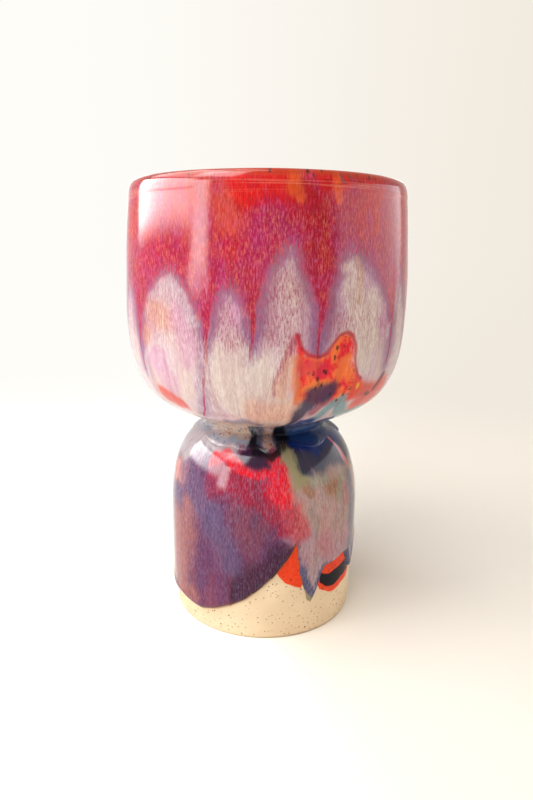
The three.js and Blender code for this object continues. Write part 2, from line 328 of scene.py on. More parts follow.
# Unevenness of painted edges: cell and reach in millimetres, and a seed
WARPS = ((10, 2.4, 11), (4.5, 1.3, 21), (2.2, 0.6, 31))


def cell_noise(angle, height, cell, seed):
    """Smooth noise round the axis, between -1 and 1, with cells of about the given size."""
    turns = round(2 * math.pi * BELLY_RADIUS / cell)
    levels = math.ceil(BOWL_TOP / cell) + 3
    values = np.random.default_rng(seed).uniform(-1, 1, (turns, levels))
    across = np.asarray(angle) % 360 / 360 * turns + 0 * height
    up = np.clip(height / cell, 0, levels - 1.01) + 0 * across
    column, row = np.floor(across).astype(int) % turns, np.floor(up).astype(int)
    beside = (column + 1) % turns
    u, v = across % 1, up % 1
    u, v = u * u * (3 - 2 * u), v * v * (3 - 2 * v)
    low = lerp(values[column, row], values[beside, row], u)
    high = lerp(values[column, row + 1], values[beside, row + 1], u)
    return lerp(low, high, v)


def warped(angle, height, radius, amount=1.0):
    """Places shifted a little by noise, so that what is drawn there gets an uneven edge."""
    across, up = 0, 0
    for cell, reach, seed in WARPS:
        across = across + amount * reach * cell_noise(angle, height, cell, seed)
        up = up + amount * reach * cell_noise(angle, height, cell, seed + 1)
    return angle + np.degrees(across / radius), height + up


def line_distance(angle, height, radius, line, closed=False):
    """Least distance to a line of azimuth and height points, in millimetres."""
    middle = np.mean([turn for turn, _ in line])
    x = np.radians(apart(angle, middle)) * radius
    ends = [(math.radians(turn - middle) * radius, level) for turn, level in line]
    following = ends[1:] + ends[:1] if closed else ends[1:] or ends
    best = np.full(np.broadcast(angle, height).shape, np.inf)
    for (x0, z0), (x1, z1) in zip(ends, following):
        dx, dz = x1 - x0, z1 - z0
        share = np.clip(((x - x0) * dx + (height - z0) * dz) / (dx * dx + dz * dz or 1), 0, 1)
        best = np.minimum(best, np.hypot(x - x0 - share * dx, height - z0 - share * dz))
    return best


def patch_distance(angle, height, radius, corners):
    """Distance to the outline of a patch, positive inside it."""
    middle = np.mean([turn for turn, _ in corners])
    x = np.radians(apart(angle, middle)) * radius
    inside = np.zeros(np.broadcast(angle, height).shape, bool)
    ends = [(math.radians(turn - middle) * radius, level) for turn, level in corners]
    for (x0, z0), (x1, z1) in zip(ends, ends[1:] + ends[:1]):
        crosses = (z0 > height) != (z1 > height)
        inside ^= crosses & (x < (x1 - x0) * (height - z0) / ((z1 - z0) or 1) + x0)
    distance = line_distance(angle, height, radius, corners, closed=True)
    return np.where(inside, distance, -distance)


def ring_distance(height, edge, spacing, reach):
    """Least distance to a line round the axis, given as one height for each column of points."""
    best = np.abs(height - edge)
    for step in range(reach):
        for way in (-1, 1):
            near, far = np.roll(edge, way * step, 1), np.roll(edge, way * (step + 1), 1)
            over = height - np.maximum(near, far)
            under = np.minimum(near, far) - height
            best = np.minimum(best, np.hypot(step * spacing, np.maximum(np.maximum(over, under), 0)))
    return best


# Turn from a stroke in front to its copy behind, and how far round a stroke counts as in front
BACK_TURN = 187.0
FRONT_REACH = 72.0


def behind(line):
    """The same line on the side away from the camera."""
    return [(BACK_TURN + turn, level) for turn, level in line]


def stroke_field(angle, height, radius, strokes):
    """Brush strokes, those in front again behind: 1 along the middle, and a half at the half-width."""
    field = np.zeros(np.broadcast(angle, height).shape)
    for half_width, line in strokes:
        in_front = max(abs(turn) for turn, _ in line) < FRONT_REACH
        for copy in (line, behind(line)) if in_front else (line,):
            reach = line_distance(angle, height, radius, copy) / half_width
            field = np.maximum(field, np.exp2(-(reach**2)))
    return field


# Lower edge of the red glaze on the bowl: each run's tip and the next arch's crest, as azimuth and height
RED_RUNS = [
    ((-77, 98), (-66, 118)), ((-54.5, 99), (-37, 121)), ((-21.3, 103), (-13, 118)),
    ((-5.2, 101), (7, 128.5)), ((17.4, 101), (29, 127.5)), ((53, 104), (60, 120)),
    ((70, 101), (87, 130)), ((105, 97), (112, 113)), ((120, 106), (138, 125)),
    ((159, 99), (166, 115)), ((174, 104), (193, 129)), ((212, 98), (219, 116)),
    ((229, 105), (248, 123)), ((266, 100), (273, 114)),
]

# How many runs are in front, how round the arches are, and how the edge's slope is measured
FRONT_RUNS = 5
ARCH_ROUNDNESS = 0.8
SLOPE_STEP = 0.25
STEEPEST = 6


def red_edge(angle):
    """Height of the red glaze's lower edge, which waves up from each tip and down to the next."""
    first = RED_RUNS[0][0][0]
    turned = first + (np.asarray(angle, float) - first) % 360
    edge = np.zeros_like(turned)
    for (tip, crest), (following, _) in zip(RED_RUNS, RED_RUNS[1:] + RED_RUNS[:1]):
        end = tip[0] + (following[0] - tip[0]) % 360
        across = np.interp(turned, (tip[0], crest[0], end), (0, 0.5, 1))
        floor = np.interp(turned, (tip[0], end), (tip[1], following[1]))
        arch = lerp(floor, crest[1], np.sin(np.pi * across) ** ARCH_ROUNDNESS)
        edge = np.where((turned >= tip[0]) & (turned <= end), arch, edge)
    return edge


def red_steepness(angle):
    """Length of the red glaze's lower edge for each length round the axis: 1 where it is level."""
    rise = red_edge(angle + SLOPE_STEP) - red_edge(angle - SLOPE_STEP)
    slope = rise / (2 * math.radians(SLOPE_STEP) * BELLY_RADIUS)
    return np.hypot(1, np.clip(slope, -STEEPEST, STEEPEST))


# Threads of red glaze below the runs: half-widths at the top and bottom, and reach above and below a tip
THREAD_TOP = 2.4
THREAD_END = 0.3
THREAD_RISE = 18
THREAD_FALL = 7
RUN_THREADS = [
    [(-21.2, 122), (-21.6, 108), (-22.4, 100), (-23.2, 93), (-24.6, 87), (-28, 82), (-33, 78.5)],
    [(-5, 122), (-5.2, 106), (-5.8, 97)],
    [(-54.5, 122), (-55, 108), (-57, 91)],
    [(17.4, 120), (17.6, 99)],
]
for (turn, level), _ in RED_RUNS[FRONT_RUNS:]:
    end = level - THREAD_FALL - THREAD_FALL * math.sin(turn)
    RUN_THREADS.append([(turn, level + THREAD_RISE), (turn + 0.5, level - 2), (turn + 1, end)])

# The orange patch low on the bowl: its dark upper rim, the rest of its outline, and its magenta tail
EMBER_RIM = [
    (9.8, 105), (12, 101.6), (15, 99.4), (18, 98.8), (21, 100), (23, 102.6), (25.2, 104.8), (28, 105.6),
    (31, 104.6), (32.8, 101.6), (33.2, 98), (33.8, 95), (35.4, 92.6), (38, 91.4),
]
EMBER_PATCH = EMBER_RIM + [(41, 88), (36, 84), (24, 84), (11, 86), (11.4, 95)]
EMBER_TAIL = [(2.4, 89), (6.6, 98), (9.6, 104)]

# Strokes of colour on the bowl: name, colour, strength, and strokes of half-width, azimuths and heights
BOWL_STROKES = [
    ("scarlet", "#d80c0a", 0.95, [
        (5, [(-7, 146), (5, 145)]), (3.5, [(12, 142)]), (3, [(20, 147), (26, 147)]),
        (4.5, [(84, 146), (104, 146)]),
    ]),
    ("ruby", "#ac001c", 0.9, [(5, [(13, 141), (18, 127)]), (4, [(-84, 136), (-80, 126)])]),
    ("ember", "#ec6420", 0.65, [(1.7, [(10, 149), (8, 143)]), (1.1, [(24.4, 149), (24, 143)])]),
    ("coral", "#dc5a40", 0.5, [
        (3.8, [(-15.5, 141), (-14, 135)]), (4, [(-53, 140)]), (3.5, [(92, 140), (90, 134)]),
    ]),
    ("peach", "#e0a884", 0.6, [
        (3.8, [(-47, 111), (-39, 109)]), (2.8, [(-49, 104)]), (3.4, [(-82, 108), (-78, 102)]),
    ]),
    ("lilac", "#d8aac0", 0.7, [
        (4.4, [(-45, 97), (-41, 90)]), (3.8, [(-33, 109), (-31, 99)]), (2.4, [(-10, 111)]),
        (2.4, [(44, 112), (50, 104)]), (4, [(84, 112), (88, 98)]), (3.6, [(-98, 108), (-94, 98)]),
    ]),
    ("cream", "#e2d6c8", 0.8, [
        (7, [(-14, 97), (-12, 86)]), (5, [(-3, 92)]), (2.6, [(28, 123), (29, 113)]),
        (4, [(39, 112), (37, 98)]), (5, [(96, 96), (104, 88)]), (5, [(-86, 92), (-74, 90)]),
    ]),
    ("chalk", "#dcd2d0", 0.5, [
        (2, [(-50, 110), (-47, 115), (-39, 117.4), (-31, 115.4), (-26, 109.6)]),
        (0.8, [(-56, 87), (-53, 96), (-46, 103), (-40, 100), (-37, 93)]),
        (1.5, [(57, 119), (54, 112), (51, 104)]),
    ]),
    ("madder", "#b4707c", 0.2, [
        (3.6, [(5, 118), (3, 104)]), (3, [(-14, 110), (-13, 104)]), (3, [(24, 108)]),
    ]),
    ("straw", "#d2a87c", 0.45, [(1.1, [(32, 126), (31, 113)])]),
    ("fawn", "#cdb09c", 0.7, [(2.4, [(-42, 75), (6, 74.6)])]),
    ("blush", "#e4baa2", 0.8, [
        (4.4, [(-5, 82), (9, 83)]), (2.2, [(6, 90), (8, 96)]), (4, [(80, 84), (110, 83)]),
    ]),
    ("salmon", "#e0523e", 0.9, [
        (2.4, [(-49, 84), (-41, 83)]), (3.2, [(37, 88), (46, 86.5), (58, 87)]), (3, [(42, 82), (60, 82)]),
    ]),
    ("tangerine", "#f08440", 0.75, [(1.3, [(11.6, 98), (11.8, 86)]), (1.2, [(15, 89.5), (23, 91.5)])]),
    ("rose", "#da3048", 0.7, [(2.4, [(15, 96), (19, 95.5)])]),
    ("flame", "#e03020", 0.8, [(3, [(29, 96), (32, 90)])]),
    ("slate", "#7d8594", 0.6, [(1.2, [(-22, 76.5), (-10, 77.5), (-3, 75.6)])]),
    ("mauve", "#9a5866", 0.85, [(1.9, [(21, 83), (25, 86.5)])]),
    ("teal", "#6a9c9e", 0.85, [
        (2, [(26, 79), (30, 85)]), (1.6, [(31, 86), (36, 80)]), (1.8, [(38, 78.5), (60, 76)]),
    ]),
    ("navy", "#242e4e", 0.9, [
        (2.4, [(12.5, 76), (15.5, 84), (19, 87.6), (25, 89)]), (1.8, [(10, 74.6), (30, 74)]),
    ]),
    ("blue", "#164680", 0.9, [(1.5, [(19, 77), (26, 78)]), (1.6, [(30, 75.6), (60, 73.6)])]),
    ("smoke", "#4a434c", 0.7, [
        (0.9, [(45.5, 85.6), (48, 85.2)]), (0.9, [(51, 87), (55.5, 91)]),
        (0.5, [(25.8, 149.2), (26.4, 145.4)]), (0.35, [(28.8, 148.8), (29.2, 145.8)]),
    ]),
    ("sun", "#e8b23a", 0.9, [(0.7, [(36.6, 89.6)])]),
]

# The strokes that tint the pale coat, and how far they fade across the edge of the red one over it
PALE_TINTS = ("peach", "lilac", "cream", "chalk", "madder", "straw")
PALE_TINT_FADE = 3.0

# Lower edge of the glaze on the foot
FOOT_EDGE = [
    (-118, 31), (-105, 18), (-92, 10.5), (-75, 6.4), (-60, 7.5), (-50, 7.2), (-40, 7.1), (-30, 9),
    (-20, 11.7), (-10, 15), (0, 20.2), (6, 23.6), (12, 28), (17, 32.2), (19, 35.4), (20.2, 27),
    (22, 21.3), (25, 16.8), (26.6, 13), (29.6, 12.4), (33, 16.4), (36, 21.6), (38.5, 24), (46, 24.3),
    (54, 25.2), (59, 25), (64, 18), (69, 16.4), (74, 20), (82, 26), (92, 27.4), (103, 22),
    (109, 13.6), (113, 12.6), (118, 18), (127, 26), (140, 24.6), (150, 19.4), (157, 18), (166, 22),
    (180, 27), (190, 23), (197, 13.5), (202, 11.4), (207, 16), (215, 26), (228, 32.5),
]

# Rounding of the lower edge's corners in front and behind, and the azimuths between which it changes
FOOT_EDGE_BLUR = 0.55
BACK_EDGE_BLUR = 3.2
BLUR_CHANGE = (60, 80)


def foot_edge(angle):
    """The lower edge's height, with crisp corners in front and rounder ones behind."""
    blur = np.interp(np.abs(apart(angle, 0)), BLUR_CHANGE, (FOOT_EDGE_BLUR, BACK_EDGE_BLUR))
    return ring_line(angle, FOOT_EDGE, blur)


# Orange underglaze on the bare foot, and the dark brush stroke over it
UNDERGLAZE = [
    [(7, 25.2), (9.5, 23), (14, 21), (19, 19.2), (23, 17.2), (27, 22), (24, 38), (14, 38), (9, 30)],
    [(33, 17.6), (35, 15.6), (40, 13.9), (47, 12.8), (56, 13), (66, 14), (73, 17), (76, 28), (36, 28)],
    [(80, 24), (85, 20), (93, 18), (101, 18.6), (104, 24), (104, 32), (80, 32)],
    [(160, 22), (165, 18), (176, 16.4), (187, 17.4), (192, 22), (194, 32), (160, 32)],
]
DARK_STROKE = [(33, 22.6), (38, 21.8), (43, 20.2), (72, 21), (71, 16.4), (47, 14.8), (41, 15.8), (35, 18.2)]

# The seams where the plum coat gives way to the mottled one: height and azimuth
FRONT_SEAM = [(0, 17), (35, 17), (42, 17), (50, 15), (58, 11), (66, 8)]
BACK_SEAM = [(0, 236), (30, 231), (44, 240), (58, 233), (66, 238)]
SEAM_SOFTNESS = 3.0
SEAM_REACH = 3

# Strokes on the foot that lie under the flecks
FOOT_STROKES = [
    ("rosewood", "#a4665c", 0.85, [
        (8, [(-66, 16), (-60, 34)]), (4, [(-50, 42)]), (3, [(-60, 11), (-50, 11.5)]),
        (8, [(-90, 25), (-105, 40)]),
    ]),
    ("shell", "#d88c78", 0.85, [(4, [(-78, 52), (-61, 53)])]),
    ("violet", "#62567a", 0.6, [
        (5, [(-57, 55), (-46, 50), (-36, 44), (-27, 37), (-20, 28)]), (3, [(-78, 43), (-62, 46)]),
    ]),
    ("haze", "#b88c9c", 0.6, [(2, [(12, 38.4), (17, 37.2), (21, 36.6)])]),
    # Painted reflection: a pale grey band on the left of the shoulder, where the window's reflection lies
    ("shoulder_reflection", "#c6c2be", 0.8, [
        (4.6, [(-104, 63.5), (-66, 63)]), (2.6, [(-64, 65.4), (-40, 64), (-22, 62.8)]),
    ]),
    ("garnet", "#a4062e", 0.85, [(4.6, [(-28, 54.5), (-6, 52), (6, 47)]), (2.6, [(10, 41)])]),
    ("aubergine", "#38062a", 0.85, [(4.6, [(-14, 17), (0, 24), (9, 31)])]),
    ("coral", "#cc4448", 0.8, [(2.6, [(10, 54), (15, 46), (19.4, 38)])]),
    ("scarlet", "#f0041a", 0.95, [
        (1.8, [(-33, 61), (-24, 60.4), (-14, 58.6), (-6, 58), (2, 58.6)]),
        (3.4, [(4.5, 60.4), (7.4, 57), (9.6, 52.4)]),
    ]),
    ("flame", "#f8401c", 0.8, [(0.8, [(-20, 57), (-8, 56), (1, 55.6), (6, 52)])]),
    ("rust", "#a8703c", 0.7, [
        (1.6, [(21, 57), (24, 51)]), (2.6, [(40, 51), (47, 50)]), (2, [(101, 55), (104, 47)]),
    ]),
    ("mauve", "#bc9096", 0.7, [
        (2.6, [(22, 31), (24, 28)]), (4.2, [(34, 34), (42, 32)]), (3.6, [(50, 29), (58, 33)]),
        (4, [(94, 36), (104, 32)]),
    ]),
    ("pink", "#bc6c74", 0.45, [
        (3, [(35, 36), (39, 30)]), (2.6, [(56, 47), (61, 45)]), (2, [(64, 60)]),
        (2.2, [(86, 45), (90, 37)]),
    ]),
    ("sage", "#9a9c7c", 0.7, [
        (1.8, [(57, 54), (52, 47)]), (2.2, [(29, 54), (36, 54.5)]), (2, [(110, 52), (114, 42)]),
    ]),
    ("slate", "#666a82", 0.8, [(2.6, [(66, 52), (67, 22)])]),
]

# Strokes on the foot that lie over the flecks
FOOT_ACCENTS = [
    # Painted reflection: a dark violet spot on the shoulder below the pool's drip
    ("shoulder_dark_reflection", "#281432", 0.9, [(2, [(-10, 62), (-3, 61.5)])]),
    ("jet", "#0a0614", 0.95, [
        (1.1, [(-12, 66.4), (-6, 64.2), (2, 62.6), (9, 64)]), (1.8, [(10.5, 65.6), (20, 65.4)]),
    ]),
    ("olive", "#948e68", 0.9, [
        (2.5, [(14.6, 62), (17, 59.6), (22, 55)]), (2.6, [(84, 60), (92, 52)]),
        (1.2, [(25.4, 14.4), (28, 12.6)]),
    ]),
    ("navy", "#182040", 0.92, [
        (2.3, [(22.5, 62), (26, 58)]), (4.3, [(32, 61.6), (44, 61.8), (110, 61.2)]),
    ]),
    ("blue", "#06286a", 0.95, [(2.2, [(22, 65.6), (40, 65.4), (116, 65)])]),
    ("petal", "#d8747a", 0.8, [(0.9, [(60.5, 65), (66, 57)])]),
]

# Lines along the tips of the runs on the foot, where the glaze pools blue, and how wide that reaches
RUN_TIPS = [
    [(20.5, 25), (24, 17), (28.5, 12.5), (33, 17), (36.5, 22.5)],
    [(62, 22), (66, 16), (72, 18)],
    [(105, 18), (113, 12)],
    [(152, 18), (160, 18)],
    [(194, 18), (204, 12)],
]
RUN_TIP_REACH = 5.0

# Colours in the pool of glaze round the neck
POOL_STROKES = [
    ("pool_pale", "#d8bca8", 0.9, [(3.4, [(-116, 71), (-14, 70.6)])]),
    ("pool_mist", "#98a2b4", 0.75, [(1.5, [(-110, 67), (-56, 67.2), (-15, 65.6)])]),
    ("pool_umber", "#b48c7a", 0.9, [(2.5, [(1.4, 73), (2, 65.4)])]),
    ("pool_blue", "#1c3d74", 0.9, [(2.4, [(24, 69), (64, 69.4)])]),
    ("pool_slate", "#56688c", 0.7, [(1.2, [(26, 71.6), (66, 71.8)])]),
    ("pool_ink", "#0a0b16", 0.95, [
        (1.3, [(-10.5, 72), (-10, 66.6)]), (2.8, [(11.5, 71), (17, 67)]),
        (0.8, [(-7, 65), (2, 63), (9, 65)]),
    ]),
]

# Drips of the pool over the shoulder: azimuth, drop, and half-width in degrees
POOL_DRIPS = [
    (-36, 1.1, 13), (-15, 1.3, 8), (2, 2.2, 5.5), (40, 1.4, 12),
    (95, 2.2, 8), (150, 1.3, 12), (208, 2.1, 7), (262, 1.5, 10),
]
DEEPEST_DRIP = max(drop for _, drop, _ in POOL_DRIPS)


def drip_depth(angle):
    """How far the pool hangs down over the shoulder."""
    depth = 0
    for middle, drop, width in POOL_DRIPS:
        depth = depth + drop * swell(apart(angle, middle), 0, width)
    return depth


def pool_edge(angle):
    return POOL_LOW - drip_depth(angle)


# Pieces

# How much of the unevenness the edges of runs, patches, strokes, the pool and the underglaze have
RUN_WARP = 0.35
PATCH_WARP = 0.25
STROKE_WARP = 0.7
POOL_WARP = 0.5
UNDERGLAZE_WARP = 0.3

# The bowl's coat: its lap under the pool, a ridge along the red edge, and throwing rings below the lip
BOWL_COAT_LAP = 0.6
RIDGE_HEIGHT = 0.1
RIDGE_INSET = 1.0
RIDGE_WIDTH = 2.5
RING_HEIGHT = 0.012
RING_PACE = 4.2
RING_BELOW_LIP = 6.0
RING_SPREAD = 4.0

# The foot's coat: the swell along its edge, how far the edge is looked for, and how rows crowd and end there
EDGE_SWELL = 0.3
EDGE_SWELL_WIDTH = 1.6
EDGE_REACH = 12.0
ROW_CROWDING = 1.25
HEEL_GAP = 0.05

# Waver of the two coats: height in millimetres, cell and seed
BOWL_WAVER = (0.05, 12, 3)
FOOT_WAVER = (0.07, 11, 5)

# The pool: rows, beads beside and in a drip, swells of its apron and waist, and how it lies on the bowl
POOL_ROWS = 24
CUFF_ROWS = 8
POOL_BEAD = 6.0
DRIP_BEAD = 1.8
POOL_EDGE_SINK = 0.1
APRON_SWELL = 0.25
APRON_DRIP = 0.6
WAIST_SWELL = 1.2
WAIST_DRIP = 2.4
POOL_OVER_BOWL = 0.2
CUFF_SINK = 0.15
CUFF_START = 0.3
APRON_END = 1.0
POOL_BACK_GAP = 0.2

# The pool's hidden back, beside the slip: radius and height
POOL_BACK = [
    (NECK_RADIUS + 2.0, BOWL_SEAT + 0.6),
    (NECK_RADIUS + 0.1, BOWL_SEAT - 0.2),
    (NECK_RADIUS + 0.1, SHOULDER_HEIGHT + 0.2),
]

# Turning marks on the clay and in the liner: height, pace, and the size, waves and phase of their waver
CLAY_MARKS = (0.02, 1.1, 0.5, (1, 2), 0.4)
LINER_MARKS = (0.06, 0.9, 0.6, (1, 2, 3), 0.8)

# The liner's lap under the red turn-in, the base without marks, and how far in from the base paint may lie
LINER_LAP = 0.8
BASE_BAND = 3.0
UNDERGLAZE_INSET = 0.2


def angles(columns):
    return np.arange(columns)[None, :] * 360 / columns


def rounded_edge(distance, bead):
    """Share of the full thickness at a distance from the edge of a coat, with a quarter-round edge."""
    inward = 1 - np.clip(distance / bead, 0, 1)
    return np.sqrt(np.clip(1 - inward**2, 0, 1))


def wavered(angle, level, waver):
    height, cell, seed = waver
    return height * cell_noise(angle, level, cell, seed)


def coat(name, angle, *strips):
    """A closed coat from strips of points, front first, each as radius and height."""
    radius, height = [np.vstack(rows) for rows in zip(*strips)]
    return turned_mesh(name, radius, height, angle, loop=True)


def paint_threads(piece, uneven, levels):
    """Stores the distances to the threads below the runs, in half-widths and in millimetres."""
    threads = np.full(levels.shape, FAR)
    halo = np.full(levels.shape, FAR)
    for line in RUN_THREADS:
        off = line_distance(*uneven, BELLY_RADIUS, line)
        from_tip = np.clip((levels - line[-1][1]) / (line[0][1] - line[-1][1]), 0, 1)
        threads = np.minimum(threads, off / lerp(THREAD_END, THREAD_TOP, from_tip**3))
        halo = np.minimum(halo, off)
    paint(piece, "thread", threads)
    paint(piece, "halo", halo)


def paint_patch(piece, uneven):
    """Stores the distances to the orange patch, its rim and its tail, with their copies behind."""
    copies = [patch_distance(*uneven, BELLY_RADIUS, copy) for copy in (EMBER_PATCH, behind(EMBER_PATCH))]
    paint(piece, "patch", np.maximum(*copies))
    for name, line in (("patch_rim", EMBER_RIM), ("tail", EMBER_TAIL)):
        copies = [line_distance(*uneven, BELLY_RADIUS, copy) for copy in (line, behind(line))]
        paint(piece, name, np.minimum(*copies))


def paint_bowl_strokes(piece, uneven, above_edge):
    """Stores the strokes on the bowl, and keeps those of the pale coat off the red one."""
    uncovered = np.clip(0.5 - above_edge / PALE_TINT_FADE, 0, 1)
    for name, _, _, strokes in BOWL_STROKES:
        field = stroke_field(*uneven, BELLY_RADIUS, strokes)
        paint(piece, name, field * uncovered if name in PALE_TINTS else field)


def bowl_glaze():
    """The outside coat of the bowl: from the neck pool, over the lip and a little way down the inside."""
    angle = angles(BOWL_COLUMNS)
    start = BOWL_RISING.length_at(POOL_HIGH - BOWL_COAT_LAP)
    end = LIP_INNER_LENGTH + RIM_TURN_IN
    length = np.linspace(start, end, BOWL_ROWS)[:, None] + 0 * angle
    level = BOWL_OUTSIDE.raised(length, 0)[1]
    run_angle, run_level = warped(angle, level, BELLY_RADIUS, RUN_WARP)
    steepness = red_steepness(run_angle)
    red = np.where(length > LIP_TOP_LENGTH, FAR, (run_level - red_edge(run_angle)) / steepness)
    ridge = RIDGE_HEIGHT * swell(red, RIDGE_INSET, RIDGE_WIDTH)
    near_lip = swell(length - LIP_TOP_LENGTH, -RING_BELOW_LIP, RING_SPREAD)
    rings = RING_HEIGHT * np.sin(length * RING_PACE) * near_lip
    thickness = GLAZE + ridge + wavered(angle, level, BOWL_WAVER) + rings
    from_end = np.minimum(length - start, end - length)
    front = BOWL_OUTSIDE.raised(length, thickness * rounded_edge(from_end, COAT_BEAD))
    back_length = np.linspace(end, start, BACK_ROWS)[:, None] + 0 * angle
    back = BOWL_OUTSIDE.raised(back_length, GLAZE_BACK)
    piece = coat("bowl_glaze_coat", angle, front, back)
    lengths = np.vstack([length, back_length])
    levels = np.vstack([level, back[1]])
    above_edge = np.vstack([red, 0 * back_length + FAR])
    paint(piece, "flow", flow_of(angle, lengths, BELLY_RADIUS))
    paint(piece, "red", above_edge)
    paint(piece, "level_edge", np.vstack([1 / steepness, 0 * back_length + 1]))
    paint(piece, "from_lip", LIP_TOP_LENGTH - lengths)
    uneven = warped(angle, levels, BELLY_RADIUS, PATCH_WARP)
    paint_threads(piece, uneven, levels)
    paint_patch(piece, uneven)
    paint_bowl_strokes(piece, warped(angle, levels, BELLY_RADIUS, STROKE_WARP), above_edge)
    return piece


def paint_foot_colours(piece, angle, levels):
    """Stores the seam and the strokes of the foot's coat."""
    uneven_angle, uneven_level = warped(angle, levels, FOOT_WALL_RADIUS, STROKE_WARP)
    past_front = uneven_angle - np.interp(uneven_level, *zip(*FRONT_SEAM))
    past_back = np.interp(uneven_level, *zip(*BACK_SEAM)) - uneven_angle
    past_seam = np.minimum(past_front, past_back) / SEAM_SOFTNESS
    paint(piece, "mottled", np.clip(past_seam, -SEAM_REACH, SEAM_REACH))
    for name, _, _, strokes in FOOT_STROKES + FOOT_ACCENTS:
        paint(piece, name, stroke_field(uneven_angle, uneven_level, FOOT_WALL_RADIUS, strokes))


def foot_glaze():
    """The coat on the foot, from its wavy lower edge up to the pool round the neck."""
    angle = angles(FOOT_COLUMNS)
    edge = foot_edge(angle)
    start = FOOT_OUTSIDE.length_at(edge)
    end = FOOT_OUTSIDE.length_at(pool_edge(angle)) + POOL_LAP
    length = lerp(start, end, np.linspace(0, 1, FOOT_ROWS)[:, None] ** ROW_CROWDING)
    level = FOOT_OUTSIDE.raised(length, 0)[1]
    spacing = math.radians(360 / FOOT_COLUMNS) * FOOT_WALL_RADIUS
    distance = np.minimum(ring_distance(level, edge, spacing, round(EDGE_REACH / spacing)), length - start)
    swelling = EDGE_SWELL * swell(distance, EDGE_SWELL_WIDTH, EDGE_SWELL_WIDTH)
    thickness = GLAZE + swelling + wavered(angle, level, FOOT_WAVER)
    front = FOOT_OUTSIDE.raised(length, thickness * rounded_edge(distance, COAT_BEAD))
    back_length = lerp(end, start + HEEL_GAP, np.linspace(0, 1, BACK_ROWS)[:, None])
    piece = coat("foot_glaze_coat", angle, front, FOOT_OUTSIDE.raised(back_length, -GLAZE_BACK))
    lengths = np.vstack([length, back_length])
    levels = FOOT_OUTSIDE.raised(lengths, 0)[1]
    paint(piece, "flow", flow_of(angle, lengths, FOOT_WALL_RADIUS))
    paint(piece, "edge", np.vstack([distance, 0 * back_length + FAR]))
    paint_foot_colours(piece, angle, levels)
    tips = [line_distance(angle, levels, FOOT_WALL_RADIUS, line) for line in RUN_TIPS]
    paint(piece, "tip", np.exp2(-((np.min(tips, 0) / RUN_TIP_REACH) ** 2)))
    return piece


def neck_pool():
    """The thick glaze in the waist, with drips over the shoulder."""
    angle = angles(FOOT_COLUMNS)
    drip = drip_depth(angle) / DEEPEST_DRIP
    low = FOOT_OUTSIDE.length_at(pool_edge(angle))
    share = np.linspace(0, 1, POOL_ROWS)[:, None]
    length = lerp(low, FOOT_OUTSIDE.end - APRON_END, share)
    bead = lerp(POOL_BEAD, DRIP_BEAD, np.clip(drip, 0, 1))
    swelling = (APRON_SWELL + APRON_DRIP * drip) * rounded_edge(length - low, bead)
    apron = FOOT_OUTSIDE.raised(length, GLAZE - POOL_EDGE_SINK + swelling)
    top_length = BOWL_RISING.length_at(POOL_HIGH) + 0 * angle
    top = BOWL_RISING.raised(top_length, GLAZE + POOL_OVER_BOWL)
    waist = (NECK_RADIUS + WAIST_SWELL + WAIST_DRIP * drip, (apron[1][-1:] + top[1]) / 2)
    face = []
    for first, middle, last in zip((apron[0][-1:], apron[1][-1:]), waist, top):
        face.append(lerp(lerp(first, middle, share), lerp(middle, last, share), share)[1:])
    along = np.linspace(CUFF_START, POOL_LAP, CUFF_ROWS)[:, None]
    cuff_thickness = lerp(GLAZE + POOL_OVER_BOWL, GLAZE - CUFF_SINK, along / POOL_LAP)
    cuff = BOWL_RISING.raised(top_length + along, cuff_thickness)
    back = np.array(POOL_BACK)[:, :, None] + 0 * angle
    heel = FOOT_OUTSIDE.raised(low + POOL_BACK_GAP, POOL_BACK_GAP)
    strips = (apron, face, cuff, (back[:, 0], back[:, 1]), heel)
    piece = coat("neck_pool_coat", angle, *strips)
    height = np.vstack([strip[1] for strip in strips])
    beyond = height[len(length):]
    lengths = np.vstack([length, FOOT_OUTSIDE.end + beyond - SHOULDER_HEIGHT])
    paint(piece, "flow", flow_of(angle, lengths, FOOT_WALL_RADIUS))
    paint(piece, "from_edge", np.vstack([length - low, 0 * beyond + FAR]))
    paint_foot_colours(piece, angle, np.vstack([FOOT_OUTSIDE.raised(length, 0)[1], beyond]))
    uneven = warped(angle, height, FOOT_WALL_RADIUS, POOL_WARP)
    for name, _, _, strokes in POOL_STROKES:
        paint(piece, name, stroke_field(*uneven, FOOT_WALL_RADIUS, strokes))
    return piece


def turned_body(name, outline, rows, relief):
    """A clay body, or a lining, whose outline starts and ends on the axis."""
    angle = angles(FOOT_COLUMNS)
    length = np.linspace(0, outline.end, rows)[1:-1, None] + 0 * angle
    radius, height = outline.raised(length, relief(angle, length))
    piece = turned_mesh(name, radius, height, angle, loop=False)
    return piece, angle, length, height


def turning_marks(angle, length, marks):
    height, pace, size, waves, phase = marks
    return height * np.sin(length * pace + size * ripple(angle, waves, phase))


